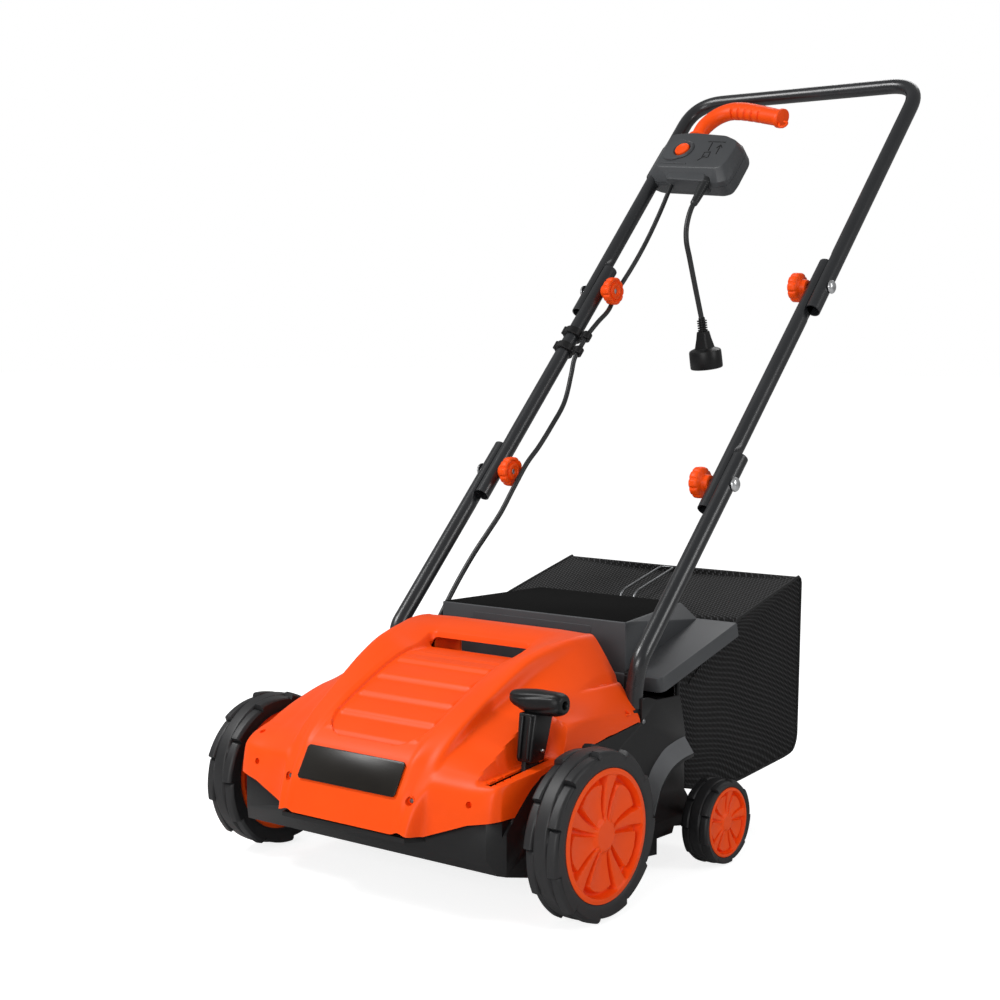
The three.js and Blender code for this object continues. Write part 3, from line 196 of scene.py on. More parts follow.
def net_faces(rows, columns, wrap_rows=False, wrap_columns=False):
    faces = []
    for r in range(rows if wrap_rows else rows - 1):
        below = ((r + 1) % rows) * columns
        here = r * columns
        for c in range(columns if wrap_columns else columns - 1):
            n = (c + 1) % columns
            faces.append((here + c, here + n, below + n, below + c))
    return faces


def tube_of_rings(rings, closed=False):
    """Skin over rings of equal length, with a face over each open end."""
    rings = np.asarray(rings, float)
    rows, columns = rings.shape[:2]
    faces = net_faces(rows, columns, wrap_rows=closed, wrap_columns=True)
    if not closed:
        faces.append(tuple(reversed(range(columns))))
        faces.append(tuple(range((rows - 1) * columns, rows * columns)))
    return rings.reshape(-1, 3), faces


def extruded(outline, w0, w1, to_space):
    """A closed (u, v) outline carried from w0 to w1; to_space maps an (n, 3) array of u, v, w."""
    outline = np.asarray(outline, float)
    ends = [np.column_stack([outline, np.full(len(outline), w)]) for w in (w0, w1)]
    return tube_of_rings([to_space(end) for end in ends])


def along_x(uvw):
    return uvw[:, [2, 0, 1]]


def along_y(uvw):
    return uvw[:, [0, 2, 1]]


def round_angles(sides):
    return np.linspace(0, 2 * math.pi, sides, endpoint=False)


def ring_on_x(x, radii, y, z, angles):
    """Ring about an axle parallel to X; x and radii are one number or one per angle."""
    return np.column_stack([np.full(len(angles), x), y + radii * np.cos(angles), z + radii * np.sin(angles)])


def turned(profile, y, z, sides, closed=False):
    """(radius, x) profile turned about an axle parallel to X."""
    return tube_of_rings([ring_on_x(x, r, y, z, round_angles(sides)) for r, x in profile], closed)


def arc_lengths(path):
    return np.concatenate([[0], np.cumsum(np.linalg.norm(np.diff(path, axis=0), axis=1))])


def spaced(path, count):
    """The same path with count evenly spaced stations."""
    length = arc_lengths(path)
    even = np.linspace(0, length[-1], count)
    return np.column_stack([np.interp(even, length, column) for column in path.T])


def evenly(path, pitch):
    """The same path with a station every pitch millimetres."""
    return spaced(path, max(3, int(arc_lengths(path)[-1] / pitch) + 1))


def eased_corner(before, here, after, reach_in, reach_out, steps):
    """Points of the curve that rounds off one corner of a path."""
    start = here + (before - here) / np.linalg.norm(before - here) * reach_in
    end = here + (after - here) / np.linalg.norm(after - here) * reach_out
    return [(1 - t) ** 2 * start + 2 * t * (1 - t) * here + t * t * end for t in np.linspace(0, 1, steps + 1)]


def bent_path(corners, bend, steps=12):
    """Straight runs with a rounded bend at each inner corner."""
    corners = np.asarray(corners, float)
    points = [corners[0]]
    for corner in zip(corners, corners[1:], corners[2:]):
        points += eased_corner(*corner, bend, bend, steps)
    return np.asarray(points + [corners[-1]])


def rounded_loop(corners, radius, steps=6):
    """Closed outline with every corner eased by radius."""
    corners = np.asarray(corners, float)
    points = []
    for before, here, after in zip(np.roll(corners, 1, axis=0), corners, np.roll(corners, -1, axis=0)):
        reach = [min(radius, np.linalg.norm(other - here) * 0.45) for other in (before, after)]
        points += eased_corner(before, here, after, *reach, steps)
    return np.asarray(points)


def smooth_path(corners, count):
    """Centripetal Catmull-Rom curve through the corners, at evenly spaced stations."""
    corners = np.asarray(corners, float)
    knots = np.vstack([2 * corners[0] - corners[1], corners, 2 * corners[-1] - corners[-2]])
    points = []
    for i in range(1, len(knots) - 2):
        p = knots[i - 1:i + 3]
        t = np.cumsum([0] + [max(np.linalg.norm(p[k + 1] - p[k]), 1e-6) ** 0.5 for k in range(3)])
        s = np.linspace(t[1], t[2], 24, endpoint=False)[:, None]
        a = [(t[k + 1] - s) / (t[k + 1] - t[k]) * p[k] + (s - t[k]) / (t[k + 1] - t[k]) * p[k + 1]
             for k in range(3)]
        b = [(t[k + 2] - s) / (t[k + 2] - t[k]) * a[k] + (s - t[k]) / (t[k + 2] - t[k]) * a[k + 1]
             for k in range(2)]
        points.append((t[2] - s) / (t[2] - t[1]) * b[0] + (s - t[1]) / (t[2] - t[1]) * b[1])
    return spaced(np.vstack(points + [corners[-1:]]), count)


def rings_along(path, section, up=(1.0, 0.0, 0.0)):
    """Rings of section(i) = (n, 2) points across the path; the first axis stays near up."""
    path = np.asarray(path, float)
    rings = []
    tangents = np.gradient(path, axis=0)
    for i, (point, tangent) in enumerate(zip(path, tangents)):
        tangent = tangent / np.linalg.norm(tangent)
        side = np.asarray(up, float) - tangent * np.dot(up, tangent)
        side = side / np.linalg.norm(side)
        other = np.cross(tangent, side)
        cut = section(i)
        rings.append(point + cut[:, :1] * side + cut[:, 1:] * other)
    return np.asarray(rings)


def circle2(radius, sides, squash=1.0):
    angles = round_angles(sides)
    return np.column_stack([radius * np.cos(angles), radius * squash * np.sin(angles)])


def round_wire(path, radius, sides, up=(1.0, 0.0, 0.0)):
    return tube_of_rings(rings_along(path, lambda i: circle2(radius, sides), up))


def rod(start, end, radius, sides=24, rounded=0.0):
    """Round bar between two points, its ends chamfered by rounded."""
    start, end = np.asarray(start, float), np.asarray(end, float)
    axis = (end - start) / np.linalg.norm(end - start)
    up = (1.0, 0.0, 0.0) if abs(axis[0]) < 0.9 else (0.0, 1.0, 0.0)
    stops, radii = [start, end], [radius, radius]
    if rounded:
        stops = [start, start + axis * rounded, end - axis * rounded, end]
        radii = [radius - rounded, radius, radius, radius - rounded]
    return tube_of_rings(rings_along(stops, lambda i: circle2(radii[i], sides), up))


def turned_axis(start, direction, profile, sides=28, up=(1.0, 0.0, 0.0), closed=False):
    """(distance, radius) profile turned about any axis."""
    direction = np.asarray(direction, float) / np.linalg.norm(direction)
    side = np.asarray(up, float) - direction * np.dot(up, direction)
    side /= np.linalg.norm(side)
    other = np.cross(direction, side)
    rings = []
    for distance, radius in profile:
        cut = circle2(radius, sides)
        rings.append(np.asarray(start, float) + direction * distance + cut[:, :1] * side + cut[:, 1:] * other)
    return tube_of_rings(rings, closed)


def plain_pin(start, direction, radius, low, high, sides):
    """Short cylinder from low to high along an axis."""
    return turned_axis(start, direction, [(low, 0.3), (low, radius), (high, radius), (high, 0.3)], sides)


# ---------------------------------------------------------------- pieces
BEVEL_FROM = math.radians(32)
CAD_BEVEL = 0.6
CAD_FLAT = math.radians(1.5)


def in_scene(name, data):
    thing = bpy.data.objects.new(name, data)
    bpy.context.scene.collection.objects.link(thing)
    return thing


def mesh_of(name, shape):
    """A mesh of a shape, with all its faces pointing out."""
    mesh = bpy.data.meshes.new(name)
    mesh.from_pydata(in_row(shape[0]).tolist(), [], shape[1])
    work = bmesh.new()
    work.from_mesh(mesh)
    bmesh.ops.recalc_face_normals(work, faces=work.faces)
    work.to_mesh(mesh)
    work.free()
    return mesh


def piece(name, shape, material, body, nodes=(), bevel=0.0, segments=2, sharp=40, cutters=None):
    """One finished mesh riding on a body, standing for the CAD nodes named."""
    thing = in_scene(name, mesh_of(name, shape))
    return finished(thing, material, body, nodes, bevel, segments, sharp, cutters)


def finished(thing, material, body, nodes, bevel, segments=2, sharp=40, cutters=None):
    """Cuts, bevels and paints an object, then fixes it to its body."""
    tool = None
    if cutters is not None:
        tool = in_scene("cutter", mesh_of("cutter", cutters))
        cut = thing.modifiers.new("cut", "BOOLEAN")
        cut.operation = "DIFFERENCE"
        cut.solver = "EXACT"
        cut.use_self = True
        cut.object = tool
    if bevel:
        edge = thing.modifiers.new("edge", "BEVEL")
        edge.width = bevel * MM
        edge.segments = segments
        edge.limit_method = "ANGLE"
        edge.angle_limit = BEVEL_FROM
        edge.use_clamp_overlap = True
    bpy.context.view_layer.update()
    if thing.modifiers:
        final = bpy.data.meshes.new_from_object(thing.evaluated_get(bpy.context.evaluated_depsgraph_get()))
        thing.modifiers.clear()
        thing.data = final
    if tool is not None:
        bpy.data.objects.remove(tool)
    thing.data.materials.clear()
    thing.data.materials.append(material)
    thing.data.polygons.foreach_set("material_index", [0] * len(thing.data.polygons))
    thing.data.shade_smooth()
    thing.data.set_sharp_from_angle(angle=math.radians(sharp))
    if body is not None:
        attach(thing, body)
    if nodes:
        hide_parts(*nodes)
    return thing


def from_cad(node, material):
    """The CAD solid with its flat faces made whole again and its edges rounded."""
    work = bmesh.new()
    work.from_mesh(frame["nodes"][node].data)
    bmesh.ops.remove_doubles(work, verts=work.verts, dist=1e-6)
    bmesh.ops.dissolve_limit(work, angle_limit=CAD_FLAT, verts=work.verts, edges=work.edges)
    mesh = bpy.data.meshes.new(node + "_finished")
    work.to_mesh(mesh)
    work.free()
    return finished(in_scene(node + "_finished", mesh), material, NODE_BODY[node], (node,), CAD_BEVEL)


def smoothstep(value, low, high):
    t = np.clip((value - low) / (high - low), 0, 1)
    return t * t * (3 - 2 * t)


def smooth_min(a, b, width):
    h = np.clip(0.5 + 0.5 * (b - a) / width, 0, 1)
    return b * (1 - h) + a * h - width * h * (1 - h)


# ---------------------------------------------------------------- top cover
# Stations from the nose lip to the rear edge: panel (y, z), crest, foot and wing (x, y, z),
# side (y, z).
COVER_ROWS = [
    ((-142, 98), (101, -141, 98), (112, -124, 97), (195, -111, 96), (-102, 96)),
    ((-137, 118), (103, -135, 118), (114, -121, 120), (195, -109.5, 120), (-100.5, 119)),
    ((-132.5, 135), (104, -127, 136), (115, -118.5, 141), (195, -107, 141), (-98, 139)),
    ((-121, 156), (107, -114, 157), (117, -113, 158.5), (196, -102, 157), (-94, 154)),
    ((-109, 176), (110, -100, 177), (118, -98, 173), (197, -90, 167), (-84, 163)),
    ((-95, 189), (112, -86, 191), (119, -84, 183), (197, -76, 173), (-72, 169)),
    ((-76, 202), (114, -66, 206), (120, -64, 194), (197, -58, 179), (-56, 175)),
    ((-45, 220), (116, -42, 221), (121, -42, 207), (198, -40, 187), (-40, 182)),
    ((-12, 237), (119, -12, 239), (124, -12, 222), (198, -12, 198), (-12, 193)),
    ((22, 253), (123, 22, 258), (129, 22, 239), (198, 22, 208), (22, 203)),
    ((56, 265), (126, 56, 274), (134, 56, 257), (198, 56, 213), (56, 208)),
    ((86, 271), (129, 86, 282.5), (138, 86, 268), (198, 86, 214), (86, 209)),
    ((108, 278), (131, 108, 287), (140, 108, 275), (199, 108, 213), (108, 208)),
    ((128, 287), (133, 128, 291), (142, 128, 281), (199, 128, 211), (128, 206)),
    ((150, 293), (134, 150, 293), (144, 150, 283), (199, 150, 209), (150, 204)),
    ((167, 294), (134, 167, 292.5), (144, 167, 282), (199, 167, 207), (167, 202)),
]
HEM_Y = [-102, -94, -82, -50, -27, 30, 82, 170]
HEM_Z = [97, 105, 118, 147, 163, 174, 182, 193]
PANEL_HALF = 80
CREST_RISE = 3.0
SIDE_X = 205
ACROSS_STEPS = [56, 7, 12, 6, 8, 18, 18, 5, 4, 5]
ALONG_STEPS = 14


def cover_half_row(panel, crest, foot, wing, side):
    def on_panel(x, rise):
        set_back = max(0.0, (x - PANEL_HALF) / (crest[0] - PANEL_HALF))
        return x, panel[0] + (crest[1] - panel[0]) * set_back, panel[1] + rise

    rise = CREST_RISE * (1 - float(smoothstep(panel[0], 96, 140)))
    hem = float(np.interp(side[0], HEM_Y, HEM_Z))
    crease = hem + min(15.0, 0.55 * (side[1] - hem))
    return [
        on_panel(0, 0), on_panel(PANEL_HALF - 3, 0), on_panel(PANEL_HALF + 6, rise),
        (crest[0] - 10, crest[1] - 0.4, crest[2] + 0.4 + 0.75 * rise), crest, foot,
        ((foot[0] + wing[0]) / 2, (foot[1] + wing[1]) / 2, (foot[2] + wing[2]) / 2 - 1.5),
        wing, (SIDE_X - 2.4, side[0], side[1] - 0.5), (SIDE_X - 0.6, side[0] - 0.4, crease),
        (SIDE_X - 0.2, side[0] - 0.4, hem + 0.4),
    ]


def resampled(rows, steps, axis, straight=()):
    """Catmull-Rom between given rows along an axis; intervals in straight stay linear."""
    rows = np.moveaxis(np.asarray(rows, float), axis, 0)
    count = len(rows)
    out = []
    for i in range(count - 1):
        before, after = rows[max(i - 1, 0)], rows[min(i + 2, count - 1)]
        a, b = rows[i], rows[i + 1]
        for t in np.linspace(0, 1, steps[i], endpoint=False):
            if i in straight:
                out.append(a + (b - a) * t)
                continue
            reach = [np.linalg.norm(q - p, axis=-1, keepdims=True) + 1e-9
                     for p, q in ((before, a), (a, b), (b, after))]
            slope_a = (b - before) * reach[1] / (reach[0] + reach[1])
            slope_b = (after - a) * reach[1] / (reach[1] + reach[2])
            out.append((2 * t**3 - 3 * t**2 + 1) * a + (t**3 - 2 * t**2 + t) * slope_a
                       + (3 * t**2 - 2 * t**3) * b + (t**3 - t**2) * slope_b)
    out.append(rows[-1])
    return np.moveaxis(np.asarray(out), 0, axis)


POCKET_FLOOR_Y = [-125, -103, -27, 16, 40]
POCKET_FLOOR_Z = [161, 161.5, 169.5, 174, 178]
SHELF_Z = 263.5
BAND_EDGES = [-92, -58, -26, 7, 43, 68]
BAND_STEP = 4.0
PANEL_RECESS = 4.0
REAR_WALL_FOOT = 218.0


def cover_detail(net):
    """Adds the moulded detail: panel recess, bands, shelf, lever pocket and wing creases."""
    x, y, z = (net[..., k].copy() for k in range(3))
    side = np.abs(x)
    top = (z > 150) & (y < 165)
    # recessed panel with rounded front corners
    from_edge = np.stack([side - 40, -58 - y], axis=-1)
    outside = np.linalg.norm(np.maximum(from_edge, 0), axis=-1) + np.minimum(from_edge.max(axis=-1), 0)
    recess = 1 - smoothstep(outside, 36.4, 38.8)
    z -= PANEL_RECESS * recess * top * (1 - smoothstep(y, 96, 104))
    # broad bands across the panel, each starting with a short riser
    band = np.interp(y, BAND_EDGES, range(len(BAND_EDGES)))
    share = band - np.floor(band)
    saw = np.where(share < 0.84, 0.5 - share / 0.84, -0.5 + smoothstep(share, 0.84, 1.0))
    inside = (1 - smoothstep(side, 70, 76)) * smoothstep(y, -92, -88) * (1 - smoothstep(y, 62, 68))
    z += BAND_STEP * saw * inside * top
    # level shelf in front of the grab bar, closed by the bar's own front wall
    shelf = SHELF_Z + 60 * smoothstep(side, 72, 100) + 60 * smoothstep(y, 110, 126)
    z = np.where((y > 30) & (y < 130), smooth_min(z, shelf, 3.0), z)
    # flat-floored pocket round the height lever, on the left side
    floor = np.interp(y, POCKET_FLOOR_Y, POCKET_FLOOR_Z)
    wall = 70 * smoothstep(172 - x, 0, 16) + 60 * smoothstep(y, 6, 44)
    lowered = smooth_min(z, floor + wall, 3.0)
    z = np.where((x > 150) & (z > 155), lowered, z)
    # crease bowing over the front wheel, on both wings
    arch = np.sqrt(((y - 20) / 118) ** 2 + ((z - 120) / 92) ** 2)
    flare = np.exp(-((arch - 1) / 0.06) ** 2) * smoothstep(side, 160, 190) * (z > 178)
    z += 0.9 * flare
    return np.stack([x, y, z], axis=-1)


def cover_surface():
    rows = [cover_half_row(*row) for row in COVER_ROWS]
    net = resampled(rows, ACROSS_STEPS, 1, straight=(0, 8, 9))
    net = resampled(net, [ALONG_STEPS] * (len(COVER_ROWS) - 1), 0)
    net = np.concatenate([(net * [-1, 1, 1])[:, :0:-1], net], axis=1)
    net = cover_detail(net)
    # rear lip turned down into a short rear wall
    last = net[-1]
    lip = [last + [0, back, -down] for back, down in ((1.5, 0.5), (2.6, 1.7), (3.0, 3.6))]
    lowest = np.minimum(last[:, 2] - 4, REAR_WALL_FOOT)
    for share in (0.25, 0.5, 0.75, 1.0):
        wall = lip[2].copy()
        wall[:, 2] += (lowest - lip[2][:, 2]) * share
        lip.append(wall)
    return np.concatenate([net, lip])


def shell_of(net, thickness):
    """Closed shell of even thickness inside a net of points."""
    across = np.gradient(net, axis=1)
    along = np.gradient(net, axis=0)
    normal = np.cross(across, along)
    normal /= np.maximum(np.linalg.norm(normal, axis=-1, keepdims=True), 1e-9)
    inner = net - normal * thickness
    rows, columns = net.shape[:2]
    count = rows * columns
    outer_faces = net_faces(rows, columns)
    inner_faces = [tuple(i + count for i in reversed(face)) for face in outer_faces]
    rim = (list(range(columns)) + [r * columns + columns - 1 for r in range(1, rows)]
           + [(rows - 1) * columns + c for c in range(columns - 2, -1, -1)]
           + [r * columns for r in range(rows - 2, 0, -1)])
    edge_faces = [(rim[(i + 1) % len(rim)], rim[i], rim[i] + count, rim[(i + 1) % len(rim)] + count)
                  for i in range(len(rim))]
    return np.concatenate([net.reshape(-1, 3), inner.reshape(-1, 3)]), outer_faces + inner_faces + edge_faces


def rounded_box(u0, u1, v0, v1, radius, steps=6):
    corners = [(u1 - radius, v0 + radius, -90), (u1 - radius, v1 - radius, 0),
               (u0 + radius, v1 - radius, 90), (u0 + radius, v0 + radius, 180)]
    return [(u + radius * math.cos(math.radians(a + 90 * k / steps)),
             v + radius * math.sin(math.radians(a + 90 * k / steps)))
            for u, v, a in corners for k in range(steps + 1)]


GRIP_OPENING = rounded_box(-78, 78, 244, 275, 8)
GRIP_LINING = rounded_box(-80.4, 80.4, 241.6, 277.4, 10.4)
NOSE_EDGE = [(112, 97), (168, 117.5), (230, 130), (230, 40), (112, 40)]


def cover_cutters():
    opening = extruded(GRIP_OPENING, 105, 182, along_y)
    slot = extruded([(-98, 150), (8, 150), (8, 190), (-98, 190)], 180.5, 189.5, along_x)
    marks = []
    for y in (-92, -79, -66):
        low = 160 + (y + 103) * 0.105
        marks.append(extruded([(y, low), (y + 3, low), (y + 3, 180), (y, 180)], 176, 194, along_x))
    corners = [extruded([(side * x, z) for x, z in NOSE_EDGE], -160, -76, along_y) for side in (1, -1)]
    holes = [rod(start, np.asarray(start) + np.asarray(axis) * depth, radius)
             for start, axis, _, depth, radius in COVER_HOLES]
    return joined(opening, slot, *marks, *corners, *holes)


# Blind screw recesses: start outside the cover, direction, depths of lip and floor, radius.
COVER_HOLES = [((side * x, y, z), axis, lip, depth, radius)
               for side in (1, -1) for x, y, z, axis, lip, depth, radius in (
                   (96, -142, 136, (0, 1, 0), 14.5, 20, 5.2), (168, -119, 140, (0, 1, 0), 9.5, 17, 4.0),
                   (201, 147, 226, (0, 0, -1), 20, 23, 3.4))]
COVER_HOLES.append(((-184, -92, 185), (0, 0.39, -0.92), 18, 21, 4.0))


def recess_cups():
    cups = []
    for start, axis, lip, depth, radius in COVER_HOLES:
        far = depth - 1
        profile = [(lip, radius), (lip, radius + 1.2), (far, radius + 1.2), (far, 0.3), (far - 1, 0.3),
                   (far - 1, radius)]
        cups.append(turned_axis(start, axis, profile, 24, (0.0, 0.6, 0.8), closed=True))
    return joined(*cups)


piece("hood", shell_of(cover_surface(), 2.6), ORANGE, "deck", ("top_cover",), cutters=cover_cutters(), sharp=38)
piece("hood_screw_cups", recess_cups(), ORANGE, "deck")
lining = [along_y(np.column_stack([loop, np.full(len(loop), y)])) for loop, y in (
    (GRIP_OPENING, 119), (GRIP_OPENING, 168.5), (GRIP_LINING, 168.5), (GRIP_LINING, 119))]
piece("hood_grip_lining", tube_of_rings(lining, closed=True), ORANGE, "deck")

# ---------------------------------------------------------------- wheels
LUG_STEPS = 28
BLOCK_DEPTH = 0.056
BEAD_GAP = 0.3


def tyre(y, z, radius, inner, outer, rim, lugs):
    """Tyre with a row of ratchet-shaped blocks on each shoulder, offset by half a pitch."""
    depth = radius * BLOCK_DEPTH
    width = outer - inner
    sides = lugs * LUG_STEPS
    turn = np.arange(sides) / LUG_STEPS
    angles = turn / lugs * 2 * math.pi
    across = np.concatenate([[0, 0.012, 0.03], np.linspace(0.06, 0.94, 44), [0.97, 0.988, 1.0]])

    def ring(radii, x):
        return ring_on_x(x, radii, y, z, angles)

    def drop(offset, zone):
        phase = (turn + offset) % 1.0
        ramp = (1 - phase) * smoothstep(phase, 0.0, 0.035)
        groove = np.exp(-((phase - 0.035) / 0.02) ** 2)
        return depth * (0.5 * (1 - zone) + zone * (ramp + 0.45 * groove))

    wall = [(rim + BEAD_GAP, 2.0), (rim + 1.2, 1.0), (rim + (radius - rim) * 0.3, 0.4)]
    upper = [(0.915, 0.15, 0.5), (0.94, 0.0, 0.9)]
    rings = [ring(r, inner + step) for r, step in wall]
    rings += [ring(radius * share - drop(0.5, 1.0) * weight * 0.6, inner + step) for share, step, weight in upper]
    for share in across:
        from_side = min(share, 1 - share) * width
        offset = 0.0 if share > 0.5 else 0.5
        reach = width * 0.3
        zone = 1 - smoothstep(from_side, reach - 0.8, reach + 0.8)
        edge_line = math.exp(-((from_side - reach) / 0.9) ** 2)
        crown = 0.3 * depth * (2 * share - 1) ** 2
        round_side = radius * 0.035 * max(0.0, 1 - from_side / 4.0) ** 2
        rings.append(ring(radius - drop(offset, zone) - 0.3 * depth * edge_line - crown - round_side,
                          inner + share * width))
    rings += [ring(radius * share - drop(0.0, 1.0) * weight * 0.6, outer - step)
              for share, step, weight in reversed(upper)]
    rings += [ring(r, outer - step) for r, step in reversed(wall)]
    rings += [ring(rim + BEAD_GAP, outer - 3), ring(rim + BEAD_GAP, inner + 3)]
    return tube_of_rings(rings, closed=True)


HUB_START, HUB_LEAN = 48.0, -5.0
HUB_SIDES = 5 * 84


def hub_face(y, z, outer, rim, depth):
    """Hub front: thin rim, five dished petals, five spokes between them, deep narrow pockets."""
    angles = round_angles(HUB_SIDES)
    radii = np.concatenate([np.linspace(0.02, 0.9, 64), [0.91, 0.92, 0.93, 0.945, 0.965, 0.985, 1.0]]) * rim
    rings = []
    for r in radii:
        share = r / rim
        lean = math.radians(HUB_START + HUB_LEAN * share**1.4)
        phi = np.degrees(((angles - lean + math.pi / 5) % (2 * math.pi / 5)) - math.pi / 5)
        side = np.abs(phi)
        petal_half = 18.5 + 3.5 * share
        petal = 1 - smoothstep(side, petal_half - 1.2, petal_half + 1.6)
        petal_end = 0.83 - 0.05 * (side / petal_half) ** 2
        petal = petal * (1 - smoothstep(share, petal_end - 0.012, petal_end + 0.02))
        spoke_half = 6.2 + 2.4 * share
        spoke = 1 - smoothstep(36 - side, spoke_half - 1.0, spoke_half + 1.8)
        centre = 1 - smoothstep(share, 0.2, 0.28)
        rim_zone = smoothstep(share, 0.895, 0.92)
        dip = math.sin(math.pi * min(1.0, share / 0.95))
        floor = -depth * (0.5 + 0.5 * smoothstep(share, 0.18, 0.5))
        spoke_top = -1.6 - 0.28 * depth * dip - 0.5 * ((36 - side) / spoke_half) ** 2
        petal_top = -2.0 - 0.42 * depth * dip + 0.16 * depth * (side / petal_half) ** 2
        level = floor + (petal_top - floor) * petal
        level = np.maximum(level, floor + (spoke_top - floor) * spoke)
        level = level + (-2.0 - level) * centre
        level = level + (-0.4 - level) * rim_zone
        if share > 0.98:
            level = np.full(HUB_SIDES, -1.2)
        rings.append(ring_on_x(outer + level, r, y, z, angles))
    return rings


def hub(y, z, inner, outer, rim, depth, bore):
    back = [(rim, outer - 3), (rim, inner + 4), (rim * 0.9, inner + 4), (rim * 0.88, outer - depth - 4),
            (bore + 6, outer - depth - 4), (bore + 5, inner + 1.5), (bore, inner + 1.5), (bore, outer - depth - 2)]
    rings = hub_face(y, z, outer, rim, depth)
    rings += [ring_on_x(x, r, y, z, round_angles(HUB_SIDES)) for r, x in back]
    return tube_of_rings(rings)


WHEELS = {
    "front": (dict(y=0, z=100, inner=232, outer=278, rim=76.5), dict(radius=99.7, lugs=11),
              dict(depth=12.5, bore=6.2)),
    "rear": (dict(y=282.8, z=54.4, inner=224.7, outer=262.6, rim=43.5), dict(radius=54.2, lugs=9),
             dict(depth=7.5, bore=5.6)),
}
for side, flip in SIDES.items():
    for end, (place, tread, dish) in WHEELS.items():
        body = f"{end}_{side}_wheel"
        piece(f"tyre_{end}_{side}", flip(tyre(**tread, **place)), RUBBER, body, (f"{end}_tyre_{side}",), sharp=50)
        piece(f"hub_{end}_{side}", flip(hub(**dish, **place)), HUB_ORANGE, body, (f"{end}_hub_{side}",), sharp=50)

# ---------------------------------------------------------------- handle
LOWER_FOLD, UPPER_FOLD = (373.0, 469.0), (619.0, 727.0)
LOWER_BEND, HANDLE_TOP = (181.0, 268.0), (907.0, 1034.5)
TUBE_RADIUS, TUBE_BORE = 11.0, 9.4
OUTER_TUBE_X, MIDDLE_TUBE_X, FOLD_PLANE_X = 198.0, 185.0, 191.5
TUBE_LAP = 45.0
TUBE_STATION = 5.0
# A tube's flat fades in between these distances before its fold, and stops short of the fold plane.
FLAT_START, FLAT_FULL, FLAT_GAP = -62.0, -47.0, 0.35


def plane_frame(origin, toward):
    """Maps (u across, v along the tubes, w out of their plane) to space, from one fold point."""
    angle = math.atan2(toward[1] - origin[1], toward[0] - origin[0])
    c, s = math.cos(angle), math.sin(angle)

    def to_space(uvw):
        u, v, w = np.asarray(uvw, float).reshape(-1, 3).T
        return np.column_stack([u, origin[0] + v * c - w * s, origin[1] + v * s + w * c])

    return to_space, np.array([0, c, s]), np.array([0, -s, c])


on_lower, lower_up, lower_out = plane_frame(LOWER_BEND, LOWER_FOLD)
on_middle, middle_up, middle_out = plane_frame(LOWER_FOLD, UPPER_FOLD)
on_bar, bar_up, bar_out = plane_frame(UPPER_FOLD, HANDLE_TOP)
LOWER_RUN = math.dist(LOWER_BEND, LOWER_FOLD)
MIDDLE_RUN = math.dist(LOWER_FOLD, UPPER_FOLD)
BAR_RUN = math.dist(UPPER_FOLD, HANDLE_TOP)


def hollow_tube(path, up, flats=(), sides=32):
    """Open-ended tube; each flat is (fold point, axis towards the end, plane x, +1 or -1)."""
    outer = rings_along(path, lambda i: circle2(TUBE_RADIUS, sides), up)
    inner = rings_along(path, lambda i: circle2(TUBE_BORE, sides), up)
    for rings, wall in ((outer, 0.0), (inner, TUBE_RADIUS - TUBE_BORE)):
        for point, axis, plane_x, keep in flats:
            along = (rings - [0, *point]) @ axis
            share = smoothstep(along, FLAT_START, FLAT_FULL)
            limit = plane_x + keep * (FLAT_GAP + wall)
            pressed = np.maximum(rings[..., 0] * keep, limit * keep) * keep
            pressed = np.where(along > FLAT_START, pressed, rings[..., 0])
            rings[..., 0] += (pressed - rings[..., 0]) * share
    return tube_of_rings(np.concatenate([outer, inner[::-1]]), closed=True)


def lower_tube():
    end = on_lower([(OUTER_TUBE_X, LOWER_RUN + TUBE_LAP, 0)])[0]
    path = bent_path([(191, 176, 169.5), (191, 176, 232), (OUTER_TUBE_X, 176.4, 266), end], 14, 8)
    return hollow_tube(evenly(path, TUBE_STATION), (1, 0, 0), [(LOWER_FOLD, lower_up, FOLD_PLANE_X, 1)])


def middle_tube():
    path = on_middle([(MIDDLE_TUBE_X, -TUBE_LAP, 0), (MIDDLE_TUBE_X, MIDDLE_RUN + TUBE_LAP, 0)])
    flats = [(LOWER_FOLD, -middle_up, FOLD_PLANE_X, -1), (UPPER_FOLD, middle_up, FOLD_PLANE_X, -1)]
    return hollow_tube(evenly(path, TUBE_STATION), (1, 0, 0), flats)


def upper_bar():
    corners = on_bar([(OUTER_TUBE_X, -TUBE_LAP, 0), (OUTER_TUBE_X, BAR_RUN, 0),
                      (-OUTER_TUBE_X, BAR_RUN, 0), (-OUTER_TUBE_X, -TUBE_LAP, 0)])
    points, faces = hollow_tube(evenly(bent_path(corners, 52, 16), TUBE_STATION), bar_out)
    along = -(points - [0, *UPPER_FOLD]) @ bar_up
    share = smoothstep(along, FLAT_START, FLAT_FULL)
    sign = np.sign(points[:, 0])
    pressed = sign * np.maximum(np.abs(points[:, 0]), FOLD_PLANE_X + FLAT_GAP)
    points[:, 0] += (pressed - points[:, 0]) * share
    return points, faces


for side, flip in SIDES.items():
    piece(f"tube_lower_{side}", flip(lower_tube()), TUBE, "deck", (f"lower_tube_{side}",), sharp=50)
    piece(f"tube_middle_{side}", flip(middle_tube()), TUBE, "middle_handle", (f"middle_tube_{side}",), sharp=50)
piece("handle_bar", upper_bar(), TUBE, "upper_handle", ("upper_bar",), sharp=50)


BOLT_PROFILE = [(0.3, 166), (4, 166), (4, 209.4), (9.4, 209.4), (9.7, 210.2), (8.9, 212.0), (6.9, 213.6),
                (4.0, 214.6), (0.4, 215)]
KNOB_LOBES = 10
NUT_RADIUS = 4.4


